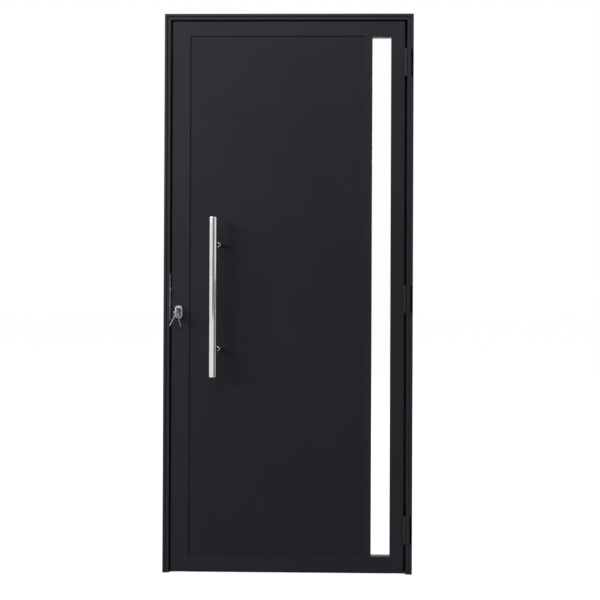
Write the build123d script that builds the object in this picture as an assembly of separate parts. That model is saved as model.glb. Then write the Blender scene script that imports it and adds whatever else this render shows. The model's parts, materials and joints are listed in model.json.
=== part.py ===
from build123d import *
import math
import os

# A hinged metal entrance door with a narrow glass strip, in its three-sided frame.
# Millimetres. X runs across the door to the right, Y runs away from the person who
# pulls the handle, and Z runs up. The origin is on the floor, in the middle of the
# overall width and depth.

# Frame
FRAME_WIDTH = 960.0
FRAME_HEIGHT = 2150.0
FRAME_DEPTH = 80.0
FRAME_SIGHT = 24.0
FRAME_WALL = 1.8
STOP_REACH = 18.0
RIB_BEVEL = 3.0
RIB_WIDTH = 7.5
SHADOW_GROOVE_WIDTH = 3.5
SHADOW_GROOVE_DEPTH = 3.5
STRIP_DROP = 1.5
EDGE_ROUND = 0.8
CLEAT_ARM = 70.0
CLEAT_DEPTH = 40.0
FIXING_HOLE_R = 3.5
FIXING_ACCESS_R = 7.0
FIXING_INSET = 250.0
FIXING_COUNT = 4

# Gaps round the leaf
GAP_LOCK = 5.0
GAP_HINGE = 10.0
GAP_TOP = 3.0
GAP_FLOOR = 5.0
LEAF_SETBACK = 8.0
SEAL_GAP = 3.0

# Stop seal and the slot that holds it
SEAL_MOUTH = 3.0
SEAL_MOUTH_DEPTH = 1.5
SEAL_POCKET = 6.0
SEAL_POCKET_DEPTH = 3.0
SEAL_INSET = 5.0
SEAL_BULB_WIDTH = 6.0
SEAL_FREE_GAP = 0.3

# Leaf
LEAF_THICKNESS = 38.0
LEAF_WALL = 1.6
LOCK_STILE_SIGHT = 69.0
HINGE_STILE_SIGHT = 53.0
RAIL_SIGHT = 57.0
MULLION_SIGHT = 27.0
GLASS_SIGHT = 72.0
LIP_WIDTH = 7.0
LIP_THICKNESS = 2.5
INFILL_EDGE_GAP = 2.5
HARDWARE_GROOVE_WIDTH = 24.0
SPIGOT_LENGTH = 40.0

# Infill of the leaf
FRONT_GASKET = 0.5
BACK_GASKET = 1.5
GASKET_WIDTH = 4.0
PANEL_THICKNESS = 24.0
SHEET = 1.5
GLASS_THICKNESS = 8.0
BEAD_WALL = 1.4
BEAD_SLOPE = 4.0

# Bottom brush
BRUSH_SLOT_WIDTH = 6.0
BRUSH_SLOT_DEPTH = 5.0
BRUSH_WIDTH = 4.0
BRUSH_FLOOR_GAP = 2.0

# Hinges
HINGE_HEIGHT = 104.0
HINGE_LOW_INSET = 164.0
HINGE_HIGH_INSET = 162.0
MIDDLE_HINGE_SHARE = 0.495
HINGE_NAMES = ("bottom", "middle", "top")
KNUCKLE_R = 5.2
KNUCKLE_JAMB_GAP = 0.3
KNUCKLE_LEAF_GAP = 0.8
HINGE_PIN_R = 3.0
PIN_HEAD_R = 4.2
PIN_HEAD_HEIGHT = 2.0
FLAP_THICKNESS = 3.0
FRAME_FLAP_WIDTH = 11.5
FLAP_SWING_GAP = 0.8
LEAF_FLAP_DEPTH = 30.0
LEAF_KNUCKLE_SHARE = 0.4
WASHER = 1.0
WASHER_GAP = 0.1
NOTCH_RIM = 1.5
NOTCH_END_GAP = 1.0
FLAP_SCREW_SPREAD_SHARE = 0.34
FLAP_SCREW_LENGTH = 16.0

# Screws
SMALL_SCREW_R = 2.0
SMALL_SCREW_HEAD_R = 3.8
SMALL_SCREW_HEAD = 1.6
DRIVE_LENGTH = 4.4
DRIVE_WIDTH = 0.9
DRIVE_DEPTH = 1.2

# Lock
FOREND_THICKNESS = 3.0
FOREND_WIDTH = 22.0
FOREND_LENGTH = 182.0
FOREND_CENTRE_Z = 1057.0
FOREND_SCREW_INSET = 8.0
FOREND_SCREW_LENGTH = 14.0
CASE_DEPTH = 48.0
CASE_THICKNESS = 15.0
CASE_LENGTH = 154.0
CASE_WALL = 1.2
BACKSET = 30.5
PLUG_Z = 1008.0
STRIKE_THICKNESS = 2.0
STRIKE_LIP_REACH = 5.0
STRIKE_SCREW_INSET = 8.0
STRIKE_WINDOW_MARGIN = 1.5
STRIKE_SCREW_LENGTH = 14.0

# Deadbolt
BOLT_Z = 1045.0
BOLT_HEIGHT = 22.0
BOLT_THICKNESS = 12.0
BOLT_LENGTH = 34.0
BOLT_CHAMFER = 1.0

# Roller latch
LATCH_Z = 1090.0
ROLLER_R = 6.0
ROLLER_HEIGHT = 11.0
ROLLER_PROUD = 4.5
ROLLER_ROUND = 1.0
ROLLER_PIN_R = 1.5
FORK_ARM = 3.0
FORK_WIDTH = 11.0
FORK_LENGTH = 30.0
FORK_END_GAP = 0.3
ROLLER_ROOT_GAP = 1.0
SPRING_R = 3.6
SPRING_WIRE_R = 0.6
SPRING_TURNS = 6

# Cylinder
PLUG_R = 6.5
CYLINDER_R = 8.5
CYLINDER_TONGUE_WIDTH = 10.0
CYLINDER_DROP = 24.5
CYLINDER_PROUD = 2.0
CAM_THICKNESS = 9.6
CAM_SLOT = 10.2
CAM_RING_R = 8.2
CAM_FINGER_R = 14.0
CAM_FINGER_WIDTH = 7.0
CAM_SWEEP_GAP = 1.0
CYLINDER_SCREW_R = 2.5
CYLINDER_SCREW_HEAD_R = 4.6
CYLINDER_SCREW_HEAD = 2.1

# Escutcheons
ESCUTCHEON_WIDTH = 29.0
ESCUTCHEON_HEIGHT = 50.0
ESCUTCHEON_THICKNESS = 7.0
ESCUTCHEON_ROUND = 2.0
ESCUTCHEON_RIM = 4.0
ESCUTCHEON_DISH = 3.0

# Keys
KEY_THICKNESS = 2.2
KEY_BLADE_HEIGHT = 8.0
KEY_NECK = 6.0
KEY_NECK_HEIGHT = 9.0
KEY_BOW_R = 10.5
KEY_HOLE_R = 3.8
KEY_RIM = 2.5
KEY_CUT_DEPTH = 2.2
KEY_CUTS = 4
KEY_TIP = 3.0
KEY_GROOVE_WIDTH = 1.8
KEY_GROOVE_DEPTH = 0.5
KEYWAY_STOP_GAP = 1.0
KEY_RING_R = 8.5
KEY_RING_WIRE_R = 0.8
KEY_HANG_GAP = 0.3
SPARE_KEY_HANG_GAP = 0.9
SPARE_KEY_ANGLES = (225.0, 300.0)
SPARE_KEY_TURNS = (30.0, 30.0)
SPARE_KEY_LEANS = (26.0, -16.0)
SPARE_KEY_NAMES = ("left_spare_key", "right_spare_key")

# Pull handle
PULL_LENGTH = 600.0
PULL_R = 15.0
PULL_WALL = 1.5
PULL_STANDOFF = 60.0
PULL_FROM_EDGE = 180.0
PULL_Z = 1060.0
POST_SPACING = 400.0
POST_R = 6.5
POST_COLLAR_R = 8.5
POST_COLLAR = 3.0
CAP_THICKNESS = 3.0
CAP_ROUND = 1.5
CAP_SPIGOT = 10.0
PULL_BOLT_R = 4.0
PULL_BOLT_GRIP = 20.0
PULL_BOLT_HEAD_R = 8.0
PULL_BOLT_HEAD = 5.0
PULL_BOLT_DOME = 2.0

# Fits
PRESS_GAP = 0.1
SLIDE_GAP = 0.3
RUNNING_GAP = 0.06
CLEAT_GAP = 0.2
MILL_GAP = 0.5
OVERRUN = 5.0

# Places worked out from the sizes
LEFT_X = -FRAME_WIDTH / 2
RIGHT_X = FRAME_WIDTH / 2
PANEL_RECESS = LIP_THICKNESS + FRONT_GASKET
PULL_REACH = PULL_STANDOFF + PULL_R - PANEL_RECESS
LEAF_Y = (PULL_REACH - FRAME_DEPTH + LEAF_SETBACK) / 2
FRAME_Y = LEAF_Y - LEAF_SETBACK
LEAF_BACK_Y = LEAF_Y + LEAF_THICKNESS
LEAF_MID_Y = LEAF_Y + LEAF_THICKNESS / 2
STOP_V = LEAF_SETBACK + LEAF_THICKNESS + SEAL_GAP
SEAL_U = FRAME_SIGHT + STOP_REACH - SEAL_INSET
JAMB_LEFT_X = LEFT_X + FRAME_SIGHT
JAMB_RIGHT_X = RIGHT_X - FRAME_SIGHT
LOCK_EDGE_X = JAMB_LEFT_X + GAP_LOCK
HINGE_EDGE_X = JAMB_RIGHT_X - GAP_HINGE
LEAF_BOTTOM_Z = GAP_FLOOR
LEAF_TOP_Z = FRAME_HEIGHT - FRAME_SIGHT - GAP_TOP
LEAF_HEIGHT = LEAF_TOP_Z - LEAF_BOTTOM_Z
FIXING_STEP = (FRAME_HEIGHT - 2 * FIXING_INSET) / (FIXING_COUNT - 1)
FIXING_HEIGHTS = [FIXING_INSET + step * FIXING_STEP for step in range(FIXING_COUNT)]
HINGE_CENTRES = (
    LEAF_BOTTOM_Z + HINGE_LOW_INSET,
    LEAF_BOTTOM_Z + LEAF_HEIGHT * MIDDLE_HINGE_SHARE,
    LEAF_TOP_Z - HINGE_HIGH_INSET,
)

LOCK_STILE_BOX = LOCK_STILE_SIGHT - LIP_WIDTH
HINGE_STILE_BOX = HINGE_STILE_SIGHT - LIP_WIDTH
RAIL_BOX = RAIL_SIGHT - LIP_WIDTH
LOCK_STILE_INNER_X = LOCK_EDGE_X + LOCK_STILE_BOX
HINGE_STILE_INNER_X = HINGE_EDGE_X - HINGE_STILE_BOX
RAIL_LOW_Z = LEAF_BOTTOM_Z + RAIL_BOX
RAIL_HIGH_Z = LEAF_TOP_Z - RAIL_BOX
SIGHT_LOW_Z = LEAF_BOTTOM_Z + RAIL_SIGHT
SIGHT_HIGH_Z = LEAF_TOP_Z - RAIL_SIGHT
GLASS_RIGHT_X = HINGE_EDGE_X - HINGE_STILE_SIGHT
GLASS_LEFT_X = GLASS_RIGHT_X - GLASS_SIGHT
MULLION_LEFT_X = GLASS_LEFT_X - MULLION_SIGHT + LIP_WIDTH
MULLION_RIGHT_X = GLASS_LEFT_X - LIP_WIDTH

KNUCKLE_Y = LEAF_Y - KNUCKLE_R - KNUCKLE_LEAF_GAP
KNUCKLE_X = JAMB_RIGHT_X - KNUCKLE_R - KNUCKLE_JAMB_GAP
HINGE_SEAT_V = KNUCKLE_Y - FRAME_Y + FLAP_THICKNESS / 2
LEAF_KNUCKLE = HINGE_HEIGHT * LEAF_KNUCKLE_SHARE
WASHER_ROOM = WASHER + 2 * WASHER_GAP
FRAME_KNUCKLE = (HINGE_HEIGHT - LEAF_KNUCKLE) / 2 - WASHER_ROOM
FRAME_FLAP_X = KNUCKLE_X + KNUCKLE_R + FLAP_SWING_GAP
FRAME_FLAP_SCREW_X = FRAME_FLAP_X + FRAME_FLAP_WIDTH / 2
LEAF_FLAP_SCREW_Y = LEAF_Y + LEAF_FLAP_DEPTH / 2
FLAP_SCREW_SPREAD = HINGE_HEIGHT * FLAP_SCREW_SPREAD_SHARE

CYLINDER_X = LOCK_EDGE_X + BACKSET
CYLINDER_FRONT_Y = LEAF_Y - ESCUTCHEON_THICKNESS - CYLINDER_PROUD
CYLINDER_BACK_Y = LEAF_BACK_Y + ESCUTCHEON_THICKNESS + CYLINDER_PROUD
CYLINDER_MID_Z = PLUG_Z + (CYLINDER_R - CYLINDER_DROP) / 2
CAM_FRONT_Y = LEAF_MID_Y - CAM_THICKNESS / 2
CAM_BACK_Y = LEAF_MID_Y + CAM_THICKNESS / 2
PLUG_LENGTH = CAM_FRONT_Y - CYLINDER_FRONT_Y
KEY_BLADE = PLUG_LENGTH - KEYWAY_STOP_GAP
BRIDGE_TOP = CAM_FINGER_R + CAM_SWEEP_GAP
CYLINDER_SCREW_Z = PLUG_Z - (BRIDGE_TOP + CYLINDER_DROP) / 2
CASE_X = LOCK_EDGE_X + FOREND_THICKNESS
CASE_BACK_X = CASE_X + CASE_DEPTH
STRIKE_X = JAMB_LEFT_X + STRIKE_THICKNESS
ROLLER_X = LOCK_EDGE_X - ROLLER_PROUD + ROLLER_R
FORK_HEIGHT = ROLLER_HEIGHT + 2 * (FORK_ARM + FORK_END_GAP)
FORK_ROOT_X = ROLLER_X + ROLLER_R + ROLLER_ROOT_GAP
FORK_BACK_X = LOCK_EDGE_X + FORK_LENGTH
BOW_CENTRE = KEY_NECK + KEY_BOW_R
KEY_HOLE_AT = BOW_CENTRE + KEY_BOW_R - KEY_RIM - KEY_HOLE_R

PULL_X = LOCK_EDGE_X + PULL_FROM_EDGE
PANEL_Y = LEAF_Y + PANEL_RECESS
PANEL_BACK_Y = PANEL_Y + PANEL_THICKNESS
GLASS_BACK_Y = PANEL_Y + GLASS_THICKNESS
PULL_Y = PANEL_Y - PULL_STANDOFF
POST_HEIGHTS = (PULL_Z - POST_SPACING / 2, PULL_Z + POST_SPACING / 2)

# Planes that the long sections run along: local x goes in from the outer edge,
# and local y goes back from the front.
LOCK_JAMB_PLANE = Plane(origin=(LEFT_X, FRAME_Y, 0), x_dir=(1, 0, 0), z_dir=(0, 0, 1))
HINGE_JAMB_PLANE = Plane(origin=(RIGHT_X, FRAME_Y, FRAME_HEIGHT), x_dir=(-1, 0, 0), z_dir=(0, 0, -1))
HEAD_PLANE = Plane(origin=(LEFT_X, FRAME_Y, FRAME_HEIGHT), x_dir=(0, 0, -1), z_dir=(1, 0, 0))
LEFT_MITRE = Plane(origin=(LEFT_X, 0, FRAME_HEIGHT), z_dir=(1, 0, 1))
RIGHT_MITRE = Plane(origin=(RIGHT_X, 0, FRAME_HEIGHT), z_dir=(-1, 0, 1))


def span(x0, x1, y0, y1, z0, z1):
    """A block between two corners."""
    middle = Pos((x0 + x1) / 2, (y0 + y1) / 2, (z0 + z1) / 2)
    return middle * Box(x1 - x0, y1 - y0, z1 - z0)


def area(u0, u1, v0, v1):
    """A flat rectangle between two corners."""
    return Pos((u0 + u1) / 2, (v0 + v1) / 2) * Rectangle(u1 - u0, v1 - v0)


def rod(radius, start, direction, length):
    """A round bar from a point along a direction."""
    return extrude(Plane(origin=start, z_dir=direction) * Circle(radius), length)


def flush_screw(radius, head_radius, head, start, direction, length):
    """A countersunk screw whose head is level with the start point."""
    outline = Polygon(
        (0, 0), (head_radius, 0), (radius, head), (radius, length), (0, length), align=None
    )
    turned = revolve(Plane.XZ * outline, Axis.Z)
    return Plane(origin=start, z_dir=direction) * turned


def flush_hole(radius, head_radius, head, start, direction, length):
    """The room for a countersunk screw."""
    return flush_screw(radius + PRESS_GAP, head_radius + PRESS_GAP, head, start, direction, length + OVERRUN)


def drive_recess(start, direction):
    """The cross recess in a screw head."""
    bar = Box(DRIVE_LENGTH, DRIVE_WIDTH, 2 * DRIVE_DEPTH)
    return Plane(origin=start, z_dir=direction) * (bar + Rot(0, 0, 90) * bar)


def small_screw(start, direction, length):
    """One of the small flat-headed screws, with a cross recess."""
    screw = flush_screw(SMALL_SCREW_R, SMALL_SCREW_HEAD_R, SMALL_SCREW_HEAD, start, direction, length)
    return screw - drive_recess(start, direction)


def small_screw_hole(start, direction, length):
    """The room for a small flat-headed screw."""
    return flush_hole(SMALL_SCREW_R, SMALL_SCREW_HEAD_R, SMALL_SCREW_HEAD, start, direction, length)


# Frame


def frame_section():
    """The hollow extrusion shared by the head and both jambs."""
    rib_end = RIB_BEVEL + RIB_WIDTH
    groove_end = rib_end + SHADOW_GROOVE_WIDTH
    stop_end = FRAME_SIGHT + STOP_REACH
    outline = Polygon(
        (0, RIB_BEVEL),
        (RIB_BEVEL, 0),
        (rib_end, 0),
        (rib_end, SHADOW_GROOVE_DEPTH),
        (groove_end, SHADOW_GROOVE_DEPTH),
        (groove_end, STRIP_DROP),
        (FRAME_SIGHT, STRIP_DROP),
        (FRAME_SIGHT, STOP_V),
        (stop_end, STOP_V),
        (stop_end, FRAME_DEPTH),
        (0, FRAME_DEPTH),
        align=None,
    )
    shown = [corner for corner in outline.vertices() if corner.Y < (STRIP_DROP + SHADOW_GROOVE_DEPTH) / 2]
    outline = fillet(shown, EDGE_ROUND)
    front_wall = max(SHADOW_GROOVE_DEPTH, HINGE_SEAT_V) + FRAME_WALL
    inner = FRAME_SIGHT - FRAME_WALL
    chambers = area(FRAME_WALL, inner, front_wall, FRAME_DEPTH - FRAME_WALL)
    chambers += area(RIB_BEVEL, rib_end - FRAME_WALL, FRAME_WALL, front_wall)
    slot_floor = STOP_V + SEAL_MOUTH_DEPTH + SEAL_POCKET_DEPTH + FRAME_WALL
    chambers += area(inner, stop_end - FRAME_WALL, slot_floor, FRAME_DEPTH - FRAME_WALL)
    return outline - chambers - seal_slot()


def seal_slot():
    """The undercut slot in the front of the stop."""
    pocket = STOP_V + SEAL_MOUTH_DEPTH
    floor = pocket + SEAL_POCKET_DEPTH
    mouth = area(SEAL_U - SEAL_MOUTH / 2, SEAL_U + SEAL_MOUTH / 2, STOP_V, pocket)
    return mouth + area(SEAL_U - SEAL_POCKET / 2, SEAL_U + SEAL_POCKET / 2, pocket, floor)


def seal_section():
    """The rubber strip: a foot in the slot, a neck and a rounded bulb that meets the leaf."""
    pocket = STOP_V + SEAL_MOUTH_DEPTH
    foot_half = SEAL_POCKET / 2 - CLEAT_GAP
    neck_half = SEAL_MOUTH / 2 - PRESS_GAP
    bulb_front = STOP_V - SEAL_GAP + SEAL_FREE_GAP
    bulb = area(SEAL_U - SEAL_BULB_WIDTH / 2, SEAL_U + SEAL_BULB_WIDTH / 2, bulb_front, STOP_V)
    nose = [corner for corner in bulb.vertices() if corner.Y < STOP_V - SEAL_GAP / 2]
    bulb = fillet(nose, (STOP_V - bulb_front) / 2)
    neck = area(SEAL_U - neck_half, SEAL_U + neck_half, STOP_V, pocket)
    foot = area(SEAL_U - foot_half, SEAL_U + foot_half, pocket, pocket + SEAL_POCKET_DEPTH - CLEAT_GAP)
    return bulb + neck + foot


def mitred(section):
    """The head, lock jamb and hinge jamb lengths of one section, cut to meet at the corners."""
    head = extrude(HEAD_PLANE * section, FRAME_WIDTH)
    head = split(head, bisect_by=LEFT_MITRE, keep=Keep.TOP)
    head = split(head, bisect_by=RIGHT_MITRE, keep=Keep.TOP)
    lock = split(extrude(LOCK_JAMB_PLANE * section, FRAME_HEIGHT), bisect_by=LEFT_MITRE, keep=Keep.BOTTOM)
    hinge = split(extrude(HINGE_JAMB_PLANE * section, FRAME_HEIGHT), bisect_by=RIGHT_MITRE, keep=Keep.BOTTOM)
    return head, lock, hinge


def fixing_holes(outer_x, inward):
    """Wall screw holes: a screw hole in the outer wall and an access hole in the inner one."""
    y = FRAME_Y + (HINGE_SEAT_V + STOP_V) / 2
    inner_x = outer_x + inward * (FRAME_SIGHT - FRAME_WALL - OVERRUN)
    holes = []
    for z in FIXING_HEIGHTS:
        start = (outer_x - inward * OVERRUN, y, z)
        holes.append(rod(FIXING_HOLE_R, start, (inward, 0, 0), 2 * OVERRUN))
        access = (inner_x, y, z)
        holes.append(rod(FIXING_ACCESS_R, access, (inward, 0, 0), FRAME_WALL + 2 * OVERRUN))
    return holes


def strike_screw_places():
    """Where the two screws of the strike plate start."""
    reach = FOREND_LENGTH / 2 - STRIKE_SCREW_INSET
    return [(STRIKE_X, LEAF_MID_Y, FOREND_CENTRE_Z + side * reach) for side in (-1, 1)]


def strike_windows(x0, x1, margin):
    """The openings for the deadbolt and for the roller, between two planes."""
    bolt_half = BOLT_HEIGHT / 2 + margin
    roller_half = FORK_HEIGHT / 2 + margin
    y0 = LEAF_MID_Y - BOLT_THICKNESS / 2 - margin
    y1 = LEAF_MID_Y + BOLT_THICKNESS / 2 + margin
    bolt = span(x0, x1, y0, y1, BOLT_Z - bolt_half, BOLT_Z + bolt_half)
    return bolt + span(x0, x1, y0, y1, LATCH_Z - roller_half, LATCH_Z + roller_half)


def lock_jamb(blank):
    """The jamb that takes the bolt and the latch."""
    for hole in fixing_holes(LEFT_X, 1):
        blank -= hole
    blank -= strike_windows(JAMB_LEFT_X - OVERRUN, JAMB_LEFT_X + OVERRUN, 2 * STRIKE_WINDOW_MARGIN)
    for place in strike_screw_places():
        blank -= small_screw_hole(place, (-1, 0, 0), STRIKE_SCREW_LENGTH)
    return blank


def strike_plate():
    """The bright plate on the lock jamb, with a lip to the front, open for the bolt and the roller."""
    half = FOREND_LENGTH / 2
    plate = span(
        JAMB_LEFT_X, STRIKE_X, LEAF_Y - STRIKE_LIP_REACH, LEAF_MID_Y + FOREND_WIDTH / 2,
        FOREND_CENTRE_Z - half, FOREND_CENTRE_Z + half,
    )
    plate = fillet(plate.edges().filter_by(Axis.X), STRIKE_THICKNESS)
    plate -= strike_windows(JAMB_LEFT_X - OVERRUN, STRIKE_X + OVERRUN, STRIKE_WINDOW_MARGIN)
    for place in strike_screw_places():
        plate -= small_screw_hole(place, (-1, 0, 0), STRIKE_SCREW_LENGTH)
    return plate


def strike_screws():
    """The two screws of the strike plate."""
    return [small_screw(place, (-1, 0, 0), STRIKE_SCREW_LENGTH) for place in strike_screw_places()]


def hinge_jamb(blank):
    """The jamb that carries the hinges, notched so that each frame flap sits in its thick front wall."""
    for hole in fixing_holes(RIGHT_X, -1):
        blank -= hole
    half = HINGE_HEIGHT / 2 + NOTCH_END_GAP
    for z in HINGE_CENTRES:
        blank -= span(
            JAMB_RIGHT_X - OVERRUN, RIGHT_X - NOTCH_RIM, FRAME_Y - OVERRUN, FRAME_Y + HINGE_SEAT_V,
            z - half, z + half,
        )
        for place in frame_flap_screws(z):
            blank -= small_screw_hole(place, (0, 1, 0), FLAP_SCREW_LENGTH)
    return blank


def frame_corner_cleats():
    """The angle blocks inside the two mitres."""
    outer = FRAME_WALL + CLEAT_GAP
    inner = FRAME_SIGHT - FRAME_WALL - CLEAT_GAP
    middle = FRAME_Y + (HINGE_SEAT_V + STOP_V) / 2
    top = FRAME_HEIGHT - outer
    cleats = []
    for side in (-1, 1):
        edge = side * (FRAME_WIDTH / 2 - outer)
        inside = side * (FRAME_WIDTH / 2 - inner)
        tip = side * (FRAME_WIDTH / 2 - outer - CLEAT_ARM)
        arms = Polygon(
            (edge, top - CLEAT_ARM), (edge, top), (tip, top), (tip, FRAME_HEIGHT - inner),
            (inside, FRAME_HEIGHT - inner), (inside, top - CLEAT_ARM), align=None,
        )
        cleats.append(extrude(Plane.XZ.offset(-middle) * arms, CLEAT_DEPTH / 2, both=True))
    return cleats


# Hinges


def knuckle(z0, z1):
    """A length of hinge barrel."""
    return rod(KNUCKLE_R, (KNUCKLE_X, KNUCKLE_Y, z0), (0, 0, 1), z1 - z0)


def pin_bore(z):
    """The hole for the hinge pin."""
    start = (KNUCKLE_X, KNUCKLE_Y, z - HINGE_HEIGHT / 2 - OVERRUN)
    return rod(HINGE_PIN_R + RUNNING_GAP, start, (0, 0, 1), HINGE_HEIGHT + 2 * OVERRUN)


def frame_flap_screws(z):
    """Where the screws of a frame flap start."""
    y = KNUCKLE_Y - FLAP_THICKNESS / 2
    return [(FRAME_FLAP_SCREW_X, y, z + step * FLAP_SCREW_SPREAD) for step in (-1, 0, 1)]


def leaf_flap_screws(z):
    """Where the screws of a leaf flap start."""
    x = HINGE_EDGE_X + FLAP_THICKNESS
    return [(x, LEAF_FLAP_SCREW_Y, z + step * FLAP_SCREW_SPREAD) for step in (-1, 0, 1)]


def hinge_frame_flap(z):
    """The half of a hinge on the frame: a plate in the notch and two barrel lengths."""
    low = z - HINGE_HEIGHT / 2
    high = z + HINGE_HEIGHT / 2
    y0 = KNUCKLE_Y - FLAP_THICKNESS / 2
    y1 = KNUCKLE_Y + FLAP_THICKNESS / 2
    flap = span(FRAME_FLAP_X, FRAME_FLAP_X + FRAME_FLAP_WIDTH, y0, y1, low, high)
    for z0, z1 in ((low, low + FRAME_KNUCKLE), (high - FRAME_KNUCKLE, high)):
        flap += span(KNUCKLE_X, FRAME_FLAP_X, y0, y1, z0, z1)
        flap += knuckle(z0, z1)
    flap -= pin_bore(z)
    for place in frame_flap_screws(z):
        flap -= small_screw_hole(place, (0, 1, 0), FLAP_SCREW_LENGTH)
    return flap


def hinge_leaf_flap(z):
    """The half of a hinge on the leaf: a plate on its edge and the middle barrel length."""
    low = z - HINGE_HEIGHT / 2
    high = z + HINGE_HEIGHT / 2
    x1 = HINGE_EDGE_X + FLAP_THICKNESS
    flap = span(HINGE_EDGE_X, x1, LEAF_Y, LEAF_Y + LEAF_FLAP_DEPTH, low, high)
    flap += span(HINGE_EDGE_X, x1, KNUCKLE_Y, LEAF_Y, z - LEAF_KNUCKLE / 2, z + LEAF_KNUCKLE / 2)
    flap += knuckle(z - LEAF_KNUCKLE / 2, z + LEAF_KNUCKLE / 2)
    flap -= pin_bore(z)
    for place in leaf_flap_screws(z):
        flap -= small_screw_hole(place, (-1, 0, 0), FLAP_SCREW_LENGTH)
    return flap


def hinge_pin(z):
    """A pin with a low head at each end of the barrel."""
    low = z - HINGE_HEIGHT / 2
    pin = rod(HINGE_PIN_R, (KNUCKLE_X, KNUCKLE_Y, low), (0, 0, 1), HINGE_HEIGHT)
    pin += rod(PIN_HEAD_R, (KNUCKLE_X, KNUCKLE_Y, low - PIN_HEAD_HEIGHT), (0, 0, 1), PIN_HEAD_HEIGHT)
    pin += rod(PIN_HEAD_R, (KNUCKLE_X, KNUCKLE_Y, low + HINGE_HEIGHT), (0, 0, 1), PIN_HEAD_HEIGHT)
    ends = pin.edges().group_by(Axis.Z)
    return fillet(list(ends[0]) + list(ends[-1]), PIN_HEAD_HEIGHT / 2)


def hinge_washers():
    """The two washers between the barrel lengths of each hinge."""
    washers = []
    for z in HINGE_CENTRES:
        above = z + LEAF_KNUCKLE / 2 + WASHER_GAP
        below = z - LEAF_KNUCKLE / 2 - WASHER_GAP - WASHER
        for z0 in (above, below):
            washers.append(knuckle(z0, z0 + WASHER) - pin_bore(z))
    return washers


# Leaf frame


def leaf_section(box_width, slot):
    """A hollow leaf extrusion with a front lip on its inner side, and a slot in its outer side."""
    outline = area(0, box_width, 0, LEAF_THICKNESS)
    outline += area(0, box_width + LIP_WIDTH, 0, LIP_THICKNESS)
    corners = [corner for corner in outline.vertices() if corner.Y < LIP_THICKNESS / 2]
    outline = fillet(corners, EDGE_ROUND)
    cavity = area(LEAF_WALL, box_width - LEAF_WALL, LEAF_WALL, LEAF_THICKNESS - LEAF_WALL)
    if slot is None:
        return outline - cavity
    width, depth = slot
    v0 = (LEAF_THICKNESS - width) / 2
    v1 = (LEAF_THICKNESS + width) / 2
    cavity -= area(0, depth + LEAF_WALL, v0 - LEAF_WALL, v1 + LEAF_WALL)
    return outline - cavity - area(0, depth, v0, v1)


def trim_lip(stile, x0, x1):
    """Cuts a stile's lip away where the rails meet it."""
    y0 = LEAF_Y - OVERRUN
    y1 = LEAF_BACK_Y + OVERRUN
    stile -= span(x0, x1, y0, y1, LEAF_BOTTOM_Z - OVERRUN, SIGHT_LOW_Z)
    return stile - span(x0, x1, y0, y1, SIGHT_HIGH_Z, LEAF_TOP_Z + OVERRUN)


def forend_screw_places():
    """Where the two screws of the forend start."""
    reach = FOREND_LENGTH / 2 - FOREND_SCREW_INSET
    return [(LOCK_EDGE_X, LEAF_MID_Y, FOREND_CENTRE_Z + side * reach) for side in (-1, 1)]


def lock_stile():
    """The stile that holds the lock, with a hardware groove along its edge."""
    plane = Plane(origin=(LOCK_EDGE_X, LEAF_Y, LEAF_BOTTOM_Z), x_dir=(1, 0, 0), z_dir=(0, 0, 1))
    groove = (HARDWARE_GROOVE_WIDTH, FOREND_THICKNESS)
    stile = extrude(plane * leaf_section(LOCK_STILE_BOX, groove), LEAF_HEIGHT)
    stile = trim_lip(stile, LOCK_STILE_INNER_X, LOCK_STILE_INNER_X + LIP_WIDTH + OVERRUN)
    case_half = CASE_LENGTH / 2 + MILL_GAP
    y_half = CASE_THICKNESS / 2 + MILL_GAP
    stile -= span(
        CASE_X - OVERRUN / 2, CASE_X + OVERRUN, LEAF_MID_Y - y_half, LEAF_MID_Y + y_half,
        FOREND_CENTRE_Z - case_half, FOREND_CENTRE_Z + case_half,
    )
    stile -= cylinder_profile(LEAF_Y - OVERRUN, LEAF_BACK_Y + OVERRUN, MILL_GAP)
    for place in forend_screw_places():
        stile -= small_screw_hole(place, (1, 0, 0), FOREND_SCREW_LENGTH)
    return stile


def hinge_stile():
    """The stile that the leaf flaps are screwed to."""
    plane = Plane(origin=(HINGE_EDGE_X, LEAF_Y, LEAF_TOP_Z), x_dir=(-1, 0, 0), z_dir=(0, 0, -1))
    stile = extrude(plane * leaf_section(HINGE_STILE_BOX, None), LEAF_HEIGHT)
    stile = trim_lip(stile, HINGE_STILE_INNER_X - LIP_WIDTH - OVERRUN, HINGE_STILE_INNER_X)
    for z in HINGE_CENTRES:
        for place in leaf_flap_screws(z):
            stile -= small_screw_hole(place, (-1, 0, 0), FLAP_SCREW_LENGTH)
    return stile


def rails():
    """The top and bottom rails, cut to fit between the stiles."""
    length = HINGE_STILE_INNER_X - LOCK_STILE_INNER_X
    section = leaf_section(RAIL_BOX, (BRUSH_SLOT_WIDTH, BRUSH_SLOT_DEPTH))
    high = Plane(origin=(LOCK_STILE_INNER_X, LEAF_Y, LEAF_TOP_Z), x_dir=(0, 0, -1), z_dir=(1, 0, 0))
    low = Plane(origin=(HINGE_STILE_INNER_X, LEAF_Y, LEAF_BOTTOM_Z), x_dir=(0, 0, 1), z_dir=(-1, 0, 0))
    return extrude(high * section, length), extrude(low * section, length)


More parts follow.
